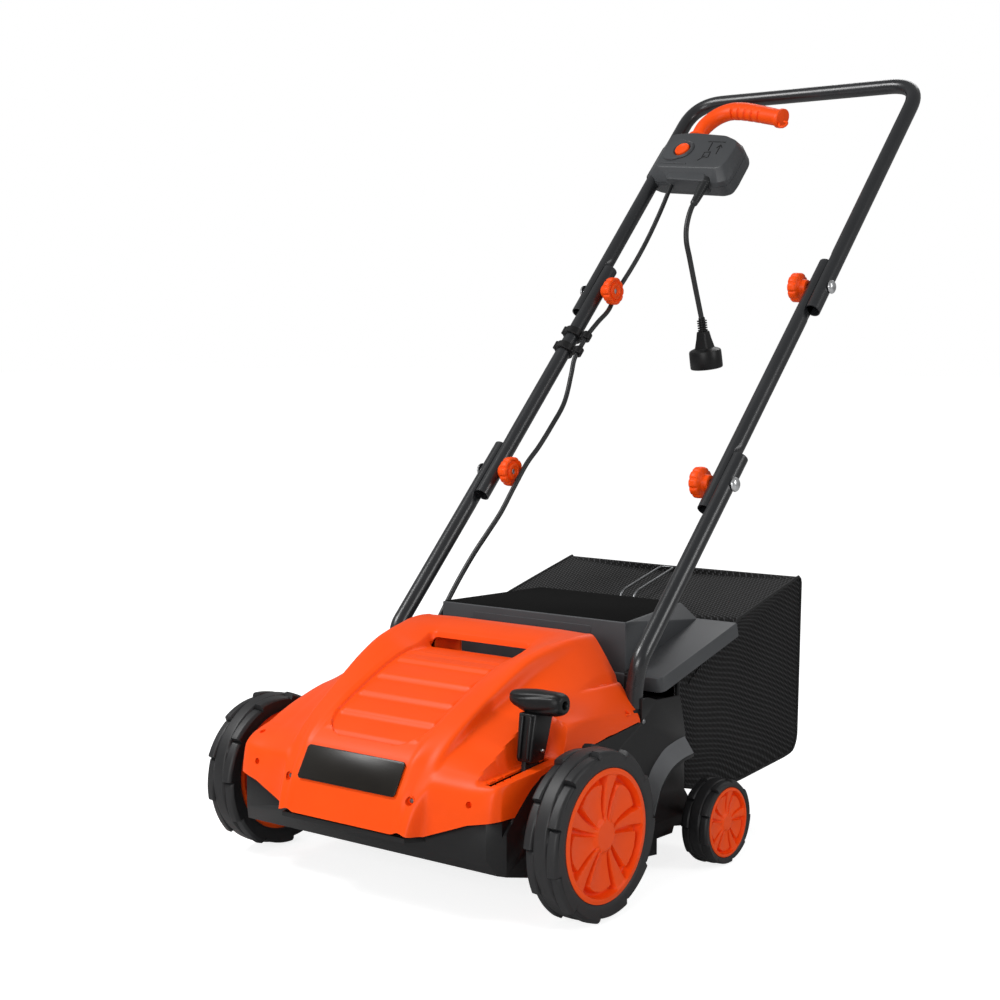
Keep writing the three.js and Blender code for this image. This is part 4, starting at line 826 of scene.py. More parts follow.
def knob(y, z):
    """Fluted hand knob with a stepped face and a collar against the tube."""
    angles = round_angles(240)
    lobes = 0.45 - 1.45 * np.exp(-((((KNOB_LOBES * angles / (2 * math.pi)) % 1.0) - 0.5) / 0.14) ** 2)
    stations = [(152.4, 3.7, 0), (151.6, 4.4, 0), (151.6, 7.4, 0), (150.4, 8.2, 0), (150.2, 11.2, 0),
                (151.0, 12.0, 0), (153.0, 12.6, 0), (153.2, 14.6, 0.1), (151.8, 15.6, 0.3), (150.8, 17.2, 0.6),
                (151.4, 19.0, 1.0), (152.8, 20.1, 1.1), (156.0, 20.3, 1.15), (160.5, 20.2, 1.15),
                (163.0, 19.4, 1.0), (164.4, 17.2, 0.4), (164.8, 12.4, 0), (166.0, 11.2, 0), (172.6, 10.6, 0),
                (173.5, 9.8, 0), (173.5, 5.0, 0), (154.0, 4.9, 0)]
    return tube_of_rings([ring_on_x(x, r + a * lobes, y, z, angles) for x, r, a in stations], closed=True)


def hexagon_nut(y, z):
    corners = np.radians(60 * np.arange(6))
    outline = np.column_stack([y + NUT_RADIUS * np.cos(corners), z + NUT_RADIUS * np.sin(corners)])
    return extruded(outline, 152.6, 154.4, along_x)


for level, fold, owner in (("lower", LOWER_FOLD, "deck"), ("upper", UPPER_FOLD, "upper_handle")):
    for side, flip in SIDES.items():
        place = f"{level}_{side}"
        piece(f"bolt_{place}", flip(turned(BOLT_PROFILE, *fold, 32)), STEEL, owner, (f"fold_bolt_{place}",),
              sharp=35)
        piece(f"knob_{place}", flip(knob(*fold)), ORANGE, f"knob_{place}", (f"fold_knob_{place}",), sharp=50)
        piece(f"knob_nut_{place}", flip(hexagon_nut(*fold)), STEEL, f"knob_{place}", bevel=0.3)

# ---------------------------------------------------------------- switch box and lever


def arc2(u, v, radius, start, end, steps):
    return [(u + radius * math.cos(math.radians(a)), v + radius * math.sin(math.radians(a)))
            for a in np.linspace(start, end, steps + 1)]


def inset(loop, amount):
    """Outline moved inwards along its normals; the loop runs counter-clockwise."""
    loop = np.asarray(loop, float)
    along = np.roll(loop, -1, axis=0) - np.roll(loop, 1, axis=0)
    normal = np.column_stack([-along[:, 1], along[:, 0]])
    normal /= np.maximum(np.linalg.norm(normal, axis=1, keepdims=True), 1e-9)
    return loop + normal * amount


def counter_clockwise(loop):
    loop = np.asarray(loop, float)
    x, y = loop.T
    area = np.sum(x * np.roll(y, -1) - y * np.roll(x, -1))
    return loop if area > 0 else loop[::-1]


def level_ring(loop, amount, w, to_space):
    """Ring at height w, moved in from an outline by amount."""
    loop = inset(counter_clockwise(loop), amount)
    return to_space(np.column_stack([loop, np.full(len(loop), w)]))


def chamfered(loop, steps, to_space):
    """Outline stacked at (inset, w) steps."""
    return tube_of_rings([level_ring(loop, amount, w, to_space) for amount, w in steps])


def domed(loop, w_base, w_face, radius, to_space, steps=5):
    """Outline raised from w_base to w_face, its outer edge rounded by radius."""
    sign = 1 if w_face > w_base else -1
    layers = [(0.0, w_base)]
    for k in range(steps + 1):
        a = math.pi / 2 * k / steps
        layers.append((radius * (1 - math.cos(a)), w_face - sign * radius * (1 - math.sin(a))))
    return chamfered(loop, layers, to_space)


BOX_LOOP = rounded_loop([(-185, 232), (-64, 216), (-50, 221), (-47, 238), (-47, 286), (-54, 300), (-80, 315),
                         (-150, 325), (-200, 324), (-211, 317), (-212, 244)], 7)
BOX_BELT = rounded_loop([(-180, 234), (-64, 217), (-50, 222), (-47, 238), (-47, 286), (-54, 300), (-80, 314),
                         (-150, 324), (-196, 323), (-205, 316), (-206, 246)], 7)
BOX_FACE = rounded_loop([(-182, 249), (-70, 236), (-61, 239), (-57, 250), (-54, 284), (-60, 297), (-84, 310),
                         (-150, 323), (-183, 323), (-187, 319), (-188, 257)], 5)
BOX_SPLIT = 2.0
BUTTON = (-150.0, 283.0)
BUTTON_RADIUS = 12.2


box_front = tube_of_rings([level_ring(*level, on_bar) for level in (
    (BOX_LOOP, 0, BOX_SPLIT + 0.25), (BOX_LOOP, 0.1, 4.0), (BOX_BELT, 0, 8.6), (BOX_BELT, 0.7, 10.2),
    (BOX_FACE, -0.9, 22.9), (BOX_FACE, 0, 23.7), (BOX_FACE, 1.4, 24.0))])
box_back = chamfered(BOX_LOOP, [(0, BOX_SPLIT - 0.25), (0.2, -14), (1.0, -17), (2.8, -19.2), (4.6, -20)], on_bar)
seam = domed(inset(counter_clockwise(BOX_LOOP), 0.9), -2, 6, 0.4, on_bar)
foot = chamfered(rounded_loop([(-160, 226), (-86, 214.5), (-84, 222), (-90, 234), (-154, 244), (-161, 236)], 5),
                 [(0, -8), (0, 15), (0.8, 17.4), (2.2, 18.4)], on_bar)


def collar(loop_uv, hole_radius, centre, w0, w1, to_space, rounding=1.2, sides=64):
    """Raised rim round a hole: the outline is sampled on rays from the hole's centre."""
    loop = np.asarray(loop_uv, float)
    angles = round_angles(sides)
    polar = np.arctan2(loop[:, 1] - centre[1], loop[:, 0] - centre[0]) % (2 * math.pi)
    reach = np.hypot(loop[:, 1] - centre[1], loop[:, 0] - centre[0])
    order = np.argsort(polar)
    far = np.interp(angles, polar[order], reach[order], period=2 * math.pi)

    def ring(radii, w):
        return to_space(np.column_stack([centre[0] + radii * np.cos(angles), centre[1] + radii * np.sin(angles),
                                         np.full(sides, w)]))

    hole = np.full(sides, hole_radius)
    return tube_of_rings([ring(far, w0), ring(far, w1 - rounding), ring(far - rounding * 0.4, w1 - rounding * 0.4),
                          ring(far - rounding, w1), ring(hole + rounding, w1), ring(hole, w1 - rounding),
                          ring(hole, w0)], closed=True)


boss_loop = rounded_loop([(-182, 268), (-178, 303)] + arc2(*BUTTON, 19.5, 80, -78, 12), 3, 4)
boss = collar(boss_loop, BUTTON_RADIUS + 1.0, BUTTON, 22.5, 27.6, on_bar, rounding=2.2)


def strip(points, width, w0, w1, to_space):
    """Raised bar along a line in the (u, v) plane."""
    (u0, v0), (u1, v1) = points
    length = math.hypot(u1 - u0, v1 - v0)
    nu, nv = -(v1 - v0) / length * width / 2, (u1 - u0) / length * width / 2
    loop = [(u0 + nu, v0 + nv), (u1 + nu, v1 + nv), (u1 - nu, v1 - nv), (u0 - nu, v0 - nv)]
    return domed(rounded_loop(loop, width * 0.4, 3), w0, w1, min(0.3, width / 4), to_space, 2)


PICTURE_STROKES = (
    ((-106, 262), (-106, 274)), ((-106, 274), (-95, 274)), ((-95, 274), (-95, 262)), ((-95, 262), (-106, 262)),
    ((-101, 277), (-101, 296)), ((-83, 268), (-83, 288)), ((-88, 282), (-83, 289)), ((-78, 282), (-83, 289)),
    ((-110, 299), (-76, 294)), ((-112, 256), (-101, 266)))
picture = [strip(line, 1.5, 23.6, 24.5, on_bar) for line in PICTURE_STROKES]
ridge = strip(((-180, 258), (-130, 251)), 3.0, 23.0, 25.0, on_bar)
button_hole = rod(on_bar([(*BUTTON, 8)])[0], on_bar([(*BUTTON, 32)])[0], BUTTON_RADIUS + 0.8, 64)
piece("switch_cover_front", joined(box_front, boss, foot, ridge), CHARCOAL, "upper_handle", ("switch_box_front",),
      sharp=30, cutters=button_hole)
piece("switch_pictogram", joined(*picture), BLACK, "upper_handle", sharp=30)
piece("switch_cover_back", box_back, CHARCOAL, "upper_handle", ("switch_box_back",), sharp=30)
piece("switch_box_seam", seam, BLACK, "upper_handle", sharp=30)


button_profile = [(14, 0.3), (14, 12.7), (16.5, 12.7), (17, 12.0), (26.4, 12.1), (28.0, 11.7), (29, 10.6),
                  (29, 9.6), (28.2, 8.2), (27.5, 4.5), (27.3, 0.3)]
piece("button_cap", turned_axis(on_bar([(*BUTTON, 0)])[0], bar_out, button_profile, 48), ORANGE, "start_button",
      ("safety_button",), sharp=30)

LEVER_MIDDLE = 7.0
LEVER_DEPTH = 12.4
LEVER_LINE = [(-153, 318), (-152.8, 332), (-151.5, 348), (-145.5, 365), (-134, 379), (-117, 387), (-95, 386),
              (-70, 379.5), (-42, 370.5), (-14, 361)]
LEVER_HALF = [11.0, 12.2, 13.6, 14.8, 15.4, 15.6, 15.2, 14.4, 13.8, 13.0]
LEVER_STATIONS = 150
FINGERS = (0.5, 0.8, 4)
lever_path = smooth_path([(u, v, LEVER_MIDDLE) for u, v in LEVER_LINE], LEVER_STATIONS)
lever_half = np.interp(np.linspace(0, 1, LEVER_STATIONS), np.linspace(0, 1, 10), LEVER_HALF)


def lever_section(i):
    share = i / (LEVER_STATIONS - 1)
    angles = round_angles(48)
    root = 1 - smoothstep(share, 0.06, 0.2)
    start, end, count = FINGERS
    grip = smoothstep(share, start - 0.02, start) * (1 - smoothstep(share, end, end + 0.02))
    notch = max(0.0, math.cos(2 * math.pi * (share - start) / (end - start) * count)) ** 3
    under = np.clip(-1.3 * np.cos(angles) + 0.1, 0, 1)
    groove = 1 - 0.24 * grip * notch * under
    deep = LEVER_DEPTH - 4.0 * root
    lip = 1 + 0.03 * np.clip(np.cos(angles), 0, 1)
    return np.column_stack([np.cos(angles) * lever_half[i] * groove * lip, np.sin(angles) * deep * groove])


def in_plane_rings(path, section):
    """Rings across a path in the bar's own plane: first axis in the plane, second along w."""
    tangents = np.gradient(path, axis=0)
    rings = []
    for i, (point, tangent) in enumerate(zip(path, tangents)):
        tangent = tangent / np.linalg.norm(tangent)
        side = np.array([-tangent[1], tangent[0], 0])
        cut = section(i)
        rings.append(on_bar(point + cut[:, :1] * side + cut[:, 1:] * [0, 0, 1]))
    return rings


grip_body = tube_of_rings(in_plane_rings(lever_path, lever_section))
end_plate = tube_of_rings(in_plane_rings(
    np.array([(u, v, LEVER_MIDDLE) for u, v in ((-16.5, 361.8), (-15.6, 361.5), (-11.2, 360.1), (-10.4, 359.9))]),
    lambda i: circle2((15.0, 16.2, 16.2, 15.0)[i], 36, 0.86)))
base_plate = tube_of_rings(in_plane_rings(
    np.array([(-153, v, 4.5) for v in (329.5, 330.3, 334.2, 335.0)]),
    lambda i: circle2((16.6, 17.8, 17.8, 16.4)[i], 36, 0.8)))
hook_path = on_bar(smooth_path([(u, v, LEVER_MIDDLE) for u, v in (
    (-12, 350), (-9, 343), (-3, 340), (2, 344), (1.5, 350), (-4, 352))], 30))
hook = round_wire(hook_path, 2.0, 12, bar_out)
root = plain_pin(on_bar([(-157, 312, -6)])[0], bar_out, 9, 0, 12, 24)
piece("squeeze_lever", joined(grip_body, end_plate, base_plate, hook, root), ORANGE, "bail_lever",
      ("switch_lever",), sharp=45)

# ---------------------------------------------------------------- cables and plug
MAINS_RADIUS, PIGTAIL_RADIUS = 3.5, 4.0
mains_high = on_bar([(-153, 236, 5), (-154, 222, 4), (-156, 180, -4), (-160, 130, -13), (-164, 85, -18),
                     (-168, 45, -20), (-169, 20, -19)])
mains_mid = on_middle([(-160, 330, -14), (-161, 300, -8), (-163, 266, -4), (-163, 251, -4)])
mains_low = on_middle([(-163, 251, -4), (-163, 236, -4), (-163, 221, -5.5), (-162, 200, -14), (-154, 152, -22),
                       (-146, 98, -15), (-145, 57, -12), (-144.5, 22, -7)])
mains_deck = [(-144.5, 362, 446), (-146, 336, 414), (-151, 313, 387), (-157, 292, 361), (-162, 270, 332),
              (-163, 248, 306), (-163, 228, 282), (-158, 205, 262), (-144, 188, 253), (-124, 174, 254)]


def lead(corners, radius, count):
    return round_wire(smooth_path(corners, count), radius, 16)


def row_point(point):
    return tuple(in_row([point])[0])


upper_lead = piece("mains_lead_upper", lead(np.vstack([mains_high, mains_mid]), MAINS_RADIUS, 180), CABLE, None,
                   ("mains_cable_upper", "mains_cable_middle"), sharp=60)
row_point(on_bar([(-169, 34, -19)])[0])
row_point(on_middle([(-160, 322, -13)])[0])
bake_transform(upper_lead)
lower_lead = piece("mains_lead_lower", lead(np.vstack([mains_low, mains_deck]), MAINS_RADIUS, 200), CABLE, None,
                   ("mains_cable_lower",), sharp=60)
row_point(on_middle([(-145, 28, -8)])[0])
row_point((-145, 330, 408))
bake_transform(lower_lead)

PIGTAIL = [*on_bar([(-88, 226, 9), (-88, 205, 9), (-88, 186, 9)]), (-88, 724, 852), (-87.2, 711, 825),
           (-86, 709, 803), (-84.5, 716, 778), (-81.5, 727, 737), (-78, 742, 685)]
RELIEF_LENGTH = 52.0


def pigtail_radius(i):
    """Tapered strain relief with fine ribs below the box, then the bare lead."""
    distance = float(i)
    if distance > RELIEF_LENGTH:
        return PIGTAIL_RADIUS
    if distance < 9:
        return 9.4
    taper = 8.6 - 2.8 * distance / RELIEF_LENGTH
    return taper - 0.35 * (0.5 + 0.5 * math.cos(2 * math.pi * distance / 4.0))


pigtail_path = evenly(smooth_path(PIGTAIL, 600), 1.0)
piece("pigtail_lead", tube_of_rings(rings_along(
    pigtail_path, lambda i: circle2(pigtail_radius(i), 20), (1, 0, 0))), CABLE, "upper_handle",
    ("pigtail_cable",), sharp=60)
PLUG_TOP, PLUG_AXIS = np.array([-78.0, 742.0, 685.0]), np.array([2.0, 12.6, -73.3])
plug_way = PLUG_AXIS / np.linalg.norm(PLUG_AXIS)
ribs = [step for k in range(5) for step in ((0.4 + 3.6 * k, 5.0), (0.8 + 3.6 * k, 7.6), (2.4 + 3.6 * k, 7.6),
                                             (2.8 + 3.6 * k, 5.0))]
head_profile = [(42.8, 7.0), (43.2, 15.0), (45.4, 21.0), (47.0, 23.8), (49.4, 24.8), (60, 25.0), (73, 25.0),
                (74.6, 24.2), (75, 23.0), (75, 21.6), (58, 21.2), (58, 0.4)]


def plug_block():
    """Four-sided neck between the ribs and the head, widening towards the head."""
    side = np.array([1.0, 0.0, 0.0]) - plug_way * plug_way[0]
    side /= np.linalg.norm(side)
    other = np.cross(plug_way, side)
    rings = []
    for distance, half in ((17.6, 6.6), (18.4, 7.6), (30, 9.2), (42.6, 11.6), (45.6, 12.4)):
        loop = rounded_loop([(-half, -half), (half, -half), (half, half), (-half, half)], 2.6, 4)
        rings.append(PLUG_TOP + plug_way * distance + loop[:, :1] * side + loop[:, 1:] * other)
    return tube_of_rings(rings)


piece("plug_body", joined(turned_axis(PLUG_TOP, PLUG_AXIS, [(-4, 4.2), (-3, 5.0)] + ribs + [(18.4, 5.0)], 32),
                          plug_block(), turned_axis(PLUG_TOP, PLUG_AXIS, head_profile, 56)), BLACK, "upper_handle",
      ("plug",), sharp=35)
pin_base = PLUG_TOP + plug_way * 57
PIN_PROFILE = [(0, 0.3), (0, 2.4), (14, 2.4), (15.5, 1.4), (15.5, 0.3)]
pins = [turned_axis(pin_base + [dx, dy, 0], PLUG_AXIS, PIN_PROFILE, 16)
        for dx, dy in ((-9.5, 0), (9.5, 0), (0, 9))]
piece("plug_pins", joined(*pins), STEEL, "upper_handle", sharp=35)


def clip_band(x, v, w, inner, outer):
    profile = [(-6, inner), (-6, outer - 0.8), (-5.2, outer), (5.2, outer), (6, outer - 0.8), (6, inner)]
    return turned_axis(on_middle([(x, v, w)])[0], middle_up, profile, 36, closed=True)


def cable_clip(v):
    """Split ring on the tube, a smaller one on the lead, and the web that joins them."""
    outline = [(-173, v - 5), (-166, v - 5), (-166, v + 5), (-173, v + 5)]
    web = domed(rounded_loop(outline, 1, 2), -5, 2, 0.8, on_middle)
    knuckle = plain_pin(on_middle([(-196, v - 6, 9)])[0], middle_up, 3.2, 0, 12, 16)
    return joined(clip_band(-MIDDLE_TUBE_X, v, 0, TUBE_RADIUS + 0.2, 14.8), clip_band(-163, v, -4, 3.7, 7.4),
                  web, knuckle)


piece("clip_upper", cable_clip(266), BLACK, "middle_handle", ("cable_clip_upper",), sharp=40)
piece("clip_lower", cable_clip(236), BLACK, "middle_handle", ("cable_clip_lower",), sharp=40)

# ---------------------------------------------------------------- height lever
GRIP_STATIONS = [(149, 3, 2, 246), (150, 6.5, 4.5, 246), (153, 10, 6.8, 245.6), (160, 13.5, 9, 244.6),
                 (170, 15.8, 11.2, 243.4), (180, 16.6, 12.8, 242.6), (190, 16.2, 13.2, 242.4),
                 (200, 15.2, 12.8, 242.6), (209, 15.0, 12.6, 242.8), (216, 14.6, 12.2, 243), (221, 13.2, 11.0, 243),
                 (224, 10.8, 9.0, 243),
                 (225, 7.6, 7.0, 243)]
GRIP_SQUARENESS = 2 / 2.5


def lever_grip():
    """Rounded-square bar with two shallow grooves winding along its front."""
    stations = np.array(GRIP_STATIONS, float)
    xs = np.concatenate([np.linspace(149, 153, 6), np.linspace(156, 220, 34), np.linspace(221.5, 225, 5)])
    values = [np.interp(xs, stations[:, 0], stations[:, k]) for k in (1, 2, 3)]
    angles = round_angles(72)
    c, s = np.cos(angles), np.sin(angles)
    rings = []
    for x, half_y, half_z, centre in zip(xs, *values):
        y = half_y * np.sign(c) * np.abs(c) ** GRIP_SQUARENESS
        z = 1.1 * half_z * np.sign(s) * np.abs(s) ** GRIP_SQUARENESS
        sweep_angle = math.radians(62 - (x - 150) * 0.75)
        shade = 1 - 0.075 * np.exp(-(((angles - math.pi - sweep_angle) / 0.16) ** 2))
        shade = shade - 0.06 * np.exp(-(((angles - math.pi + 0.5 + (x - 185) * 0.01) / 0.14) ** 2))
        rings.append(np.column_stack([np.full(72, x), -10 + y * shade, centre + z * shade]))
    rings += [ring_on_x(x, r, -10, 243, angles) for r, x in ((5.4, 225), (4.8, 224.2), (4.8, 208))]
    return tube_of_rings(rings)


piece("height_grip", lever_grip(), BLACK, "height_axle", ("lever_grip",), sharp=50)


def lever_block(x0, x1, levels):
    """Upright block with eased corners; each level is (z, front y, rear y, growth in width)."""
    rings = []
    for z, front, rear, grow in levels:
        loop = rounded_loop([(x0 - grow, front), (x1 + grow, front), (x1 + grow, rear), (x0 - grow, rear)], 3.0, 4)
        rings.append(np.column_stack([loop, np.full(len(loop), z)]))
    return tube_of_rings(rings)


def lever_stem():
    """Flat arm through the slot, a tapered stem above it, two raised ribs on its front."""
    arm = extruded([(-56, 106), (-48, 89), (-32, 92), (-29, 105), (-12, 150), (-8, 182), (-34, 182), (-38, 150)],
                   182, 188, along_x)
    stem = lever_block(174.5, 195.5, [(176.5, -33.5, -9, -1.4), (178, -35, -8, -0.4), (200, -32.5, -2, 1.0),
                                      (231, -27.5, 6, 2.4)])
    rib_levels = [(180, -37.4, -30, 0.0), (183, -37.9, -30, 0.0), (205, -34.8, -24, 0.2), (229, -31, -20, 0.3)]
    return joined(arm, stem, *[lever_block(x, x + 5.2, rib_levels) for x in (176.6, 188.2)])


RIVET_PROFILE = [(-1, 0.3), (-1, 2.4), (0.6, 2.2), (1.1, 1.2), (1.1, 0.3)]
piece("height_stem", lever_stem(), BLACK, "height_axle", ("lever_stem",), bevel=0.5)
piece("height_rivet", turned_axis((196.4, -14, 188), (1, 0, 0), RIVET_PROFILE, 16, (0, 1, 0)), STEEL,
      "height_axle")

# ---------------------------------------------------------------- flap
FLAP_FRONT, FLAP_REAR = (219.0, 240.0), (392.0, 288.0)
on_flap, flap_up, flap_out = plane_frame(FLAP_FRONT, FLAP_REAR)
FLAP_LENGTH = math.dist(FLAP_FRONT, FLAP_REAR)
WING_DEPTH = 19.0
BOX_BASE_FRONT, BOX_BASE_REAR = (216.0, 238.0), (391.0, 286.0)


def flap_wing():
    """Sloping tray with rounded front corners and a deep skirt all round."""
    half = SIDE_X - 0.2
    front = arc2(half - 10, 4, 10, -90, 0, 8)
    outline = [(-u, v) for u, v in reversed(front)] + front
    outline += [(half, FLAP_LENGTH - 2), (half - 2, FLAP_LENGTH - 0.4), (2 - half, FLAP_LENGTH - 0.4),
                (-half, FLAP_LENGTH - 2)]
    return chamfered(outline, [(2.2, 0.0), (0.8, -0.4), (0.0, -1.6), (0.0, -WING_DEPTH), (3.2, -WING_DEPTH),
                               (3.2, -3.4)], on_flap)


def flap_box():
    """Upright front face, sides leaning in towards the rear, flat top."""
    (fy, fz), (ry, rz) = BOX_BASE_FRONT, BOX_BASE_REAR
    points = [(-150, fy, fz), (150, fy, fz), (150, fy, 303), (-150, fy, 303),
              (-145, ry, rz), (145, ry, rz), (118, ry, 306), (-118, ry, 306)]
    faces = [(0, 1, 2, 3), (5, 4, 7, 6), (3, 2, 6), (3, 6, 7), (1, 5, 2), (5, 6, 2), (4, 0, 7), (0, 3, 7),
             (0, 4, 5, 1)]
    return np.array(points, float), faces


knuckles = [rod((side * 158.4, 222, 236), (side * 176, 222, 236), 7, 28, 0.6) for side in (1, -1)]
piece("flap_wing", joined(flap_wing(), *knuckles), CHARCOAL, "rear_flap", ("flap",), sharp=35)
piece("flap_box", flap_box(), CHARCOAL, "rear_flap", bevel=1.6, segments=3)
top_sheet = (np.array([(-148, 218, 303.1), (148, 218, 303.1), (116.5, 389.5, 306.1), (-116.5, 389.5, 306.1),
                       (-146.6, 219.4, 303.8), (146.6, 219.4, 303.8), (115.4, 388.5, 306.8),
                       (-115.4, 388.5, 306.8)]),
             [(0, 1, 2, 3), (7, 6, 5, 4), (0, 4, 5, 1), (1, 5, 6, 2), (2, 6, 7, 3), (3, 7, 4, 0)])
piece("flap_box_top", top_sheet, MATT_BLACK, "rear_flap", sharp=50)
front_frame = domed(rounded_loop([(-92, 262), (92, 262), (98, 294), (-98, 294)], 5, 4), 216.2, 215.4, 0.4, along_y)
piece("flap_front_plate", front_frame, CHARCOAL, "rear_flap", sharp=30)

# ---------------------------------------------------------------- fender band
# Flared lip over each rear wheel, coloured light grey as a painted highlight for the black plastic's sheen: (y, z)
# at the wall, then (y, z) at its outer edge.
FENDER_WALL, FENDER_EDGE, FENDER_PROUD = 204.0, 222.0, 0.7
FENDER_LINE = [(268, 158, 262, 140), (246, 155, 240, 137.5), (223, 149, 217, 131), (207, 139, 200, 120),
               (195, 129, 188, 107), (187, 117, 180, 91), (183, 106, 175, 78)]


def fender_band():
    rows = [[(FENDER_WALL + FENDER_PROUD + (FENDER_EDGE - FENDER_WALL) * t, y + (outer_y - y) * t,
              z + (outer_z - z) * t + FENDER_PROUD) for t in np.linspace(0, 1, 6)]
            for y, z, outer_y, outer_z in FENDER_LINE]
    return shell_of(resampled(rows, [6] * (len(FENDER_LINE) - 1), 0)[:, ::-1], 1.2)


for side, flip in SIDES.items():
    # Each band's light grey is painted sheen laid just proud of the black deck wall.
    piece(f"deck_fender_{side}", flip(fender_band()), PAINTED_SHEEN_GREY, "deck", sharp=35)

# ---------------------------------------------------------------- bag
BAG_HALF = 194.0
BAG_LINE = [(268, 231), (330, 249), (388, 265), (402, 269.5), (407, 288), (480, 307), (571, 330), (575, 322),
            (572, 210), (569, 104), (560, 88), (540, 84), (415, 73), (330, 77), (268, 93)]
BAG_CORNER = 9.0
MOUTH_Y, MOUTH_TOP, MOUTH_FOOT = 268.0, 231, 93
SIDE_SAG, SIDE_RIPPLE, TOP_SAG, TOP_RIPPLE = 9.0, 1.3, 5.5, 0.7


def bag_profile(count):
    """The bag's side outline with eased corners, and each station's share of its length."""
    line = np.asarray(BAG_LINE, float)
    eased = []
    for before, here, after in zip(line, line[1:], line[2:]):
        reach = min(BAG_CORNER, 0.42 * np.linalg.norm(before - here), 0.42 * np.linalg.norm(after - here))
        eased += eased_corner(before, here, after, reach, reach, 5)
    path = np.vstack([line[:1], eased, line[-1:]])
    length = arc_lengths(path)[-1]
    return spaced(path, count), np.linspace(0, length, count) / length


def bag_side(y, z, s, phases):
    """One row of a side sheet, from the outline in towards the mouth, sagging inwards."""
    mouth_z = MOUTH_TOP + (MOUTH_FOOT - MOUTH_TOP) * s
    row = []
    for r in np.linspace(1, 0, 40, endpoint=False):
        py, pz = y + (MOUTH_Y - y) * r, z + (mouth_z - z) * r
        belly = math.sin(math.pi * min(1.0, r * 1.15))
        ripple = SIDE_RIPPLE * math.sin(py * 0.045 + pz * 0.03 + phases[0]) * math.sin(pz * 0.05 + phases[1])
        depth = SIDE_SAG * belly * math.sin(math.pi * s) + ripple * belly
        row.append((-BAG_HALF + max(0.0, depth), py, pz))
    return row


def bag_shell():
    """One sagging sheet: top, rear and floor across the middle, and a fan over each side."""
    phases = np.random.default_rng(7).uniform(0, 2 * math.pi, 8)
    net = []
    for (y, z), s in zip(*bag_profile(170)):
        left = bag_side(y, z, s, phases)
        row = list(left)
        normal_y, normal_z = (-0.8, 0.0) if y > 560 else (0.0, -0.6 if z < 120 else -1.0)
        for t in np.linspace(-1, 1, 71):
            crown = 1 - t * t
            sag = TOP_SAG * crown * math.sin(math.pi * s) ** 0.5 if s > 0.02 else 0.0
            move = sag + TOP_RIPPLE * math.sin(t * 5 + phases[2]) * math.sin(s * 9 + phases[3]) * crown
            row.append((t * BAG_HALF, y + normal_y * move, z + normal_z * move))
        net.append(row + [(-x, py, pz) for x, py, pz in reversed(left)])
    return np.asarray(net, float)


piece("bag_cloth", shell_of(bag_shell(), 1.4), FABRIC, "catcher", ("bag",), sharp=60)
cord_line = bag_profile(140)[0]
cords = [round_wire(np.column_stack([np.full(140, x), cord_line]), 1.9, 10) for x in (-BAG_HALF, BAG_HALF)]
mouth_path = bent_path([(0, 267.6, 231), (BAG_HALF, 267.6, 231), (BAG_HALF, 267.6, 93), (-BAG_HALF, 267.6, 93),
                        (-BAG_HALF, 267.6, 231), (-0.5, 267.6, 231)], 6, 4)
piece("bag_piping", joined(*cords, round_wire(mouth_path, 3.0, 10, (0, 1, 0))), BINDING, "catcher", sharp=60)
WIRE_RADIUS = 1.7


def bag_wire():
    """Hoop in the bag's mouth, two rails over its top, and the carrying loop."""
    hoop = bent_path([(0, 274, 226), (186, 274, 226), (186, 274, 99), (-186, 274, 99), (-186, 274, 226),
                      (-0.5, 274, 226)], 14, 6)
    loop = bent_path([(-11, 430, 291), (-11, 440, 306), (-11, 536, 330.6), (11, 536, 330.6), (11, 440, 306),
                      (11, 430, 291)], 7, 6)
    rails = [bent_path([(x, 274, 226), (x, 384, 254), (x, 414, 263), (x, 431, 284)], 8, 5) for x in (-11, 11)]
    return joined(round_wire(hoop, WIRE_RADIUS, 12, (0, 1, 0)),
                  round_wire(evenly(loop, 3), WIRE_RADIUS, 12, (0, -0.24, 0.97)),
                  *[round_wire(rail, WIRE_RADIUS, 12) for rail in rails])


piece("bag_wires", bag_wire(), DARK_STEEL, "catcher", ("bag_frame",), sharp=60)

# ---------------------------------------------------------------- reel
REEL_Y, REEL_Z, ROD_CIRCLE = 60.0, 75.0, 34.0
DISC_FIRST, DISC_PITCH, DISC_COUNT = -160.0, 32.0, 11
TINE_LEAN, TINE_HALF_GAP, TINE_STATIONS = math.radians(8), 7, (28, 18, 8, 2)
COIL_RADIUS, COIL_TURNS = 4.3, 4


def reel_discs():
    """Discs on long hubs; each half profile is (radius, distance from the disc's middle)."""
    half = [(8.2, 7), (13.5, 7), (14.5, 6), (15, 2.2), (36, 1.5), (38, 2.6), (41, 2.6), (42, 1.6)]
    shapes = []
    for k in range(DISC_COUNT):
        x = DISC_FIRST + DISC_PITCH * k
        profile = [(r, x - w) for r, w in half] + [(r, x + w) for r, w in reversed(half)]
        shapes.append(turned(profile, REEL_Y, REEL_Z, 48, closed=True))
    return joined(*shapes)


piece("reel_discs", reel_discs(), BLACK, "reel", sharp=35)
shaft_profile = [(0.3, -199), (7.2, -199), (8, -198), (8, 188.6), (7.2, 189.8), (0.3, 189.8)]
piece("reel_shaft", turned(shaft_profile, REEL_Y, REEL_Z, 28), DARK_STEEL, "reel", ("reel_spool",), sharp=35)
ring_profile = [(8.2, 170), (13.5, 170), (15, 171.2), (15, 177.8), (13.5, 179), (8.2, 179)]
piece("reel_end_ring", turned(ring_profile, REEL_Y, REEL_Z, 40, closed=True), STEEL, "reel", sharp=35)


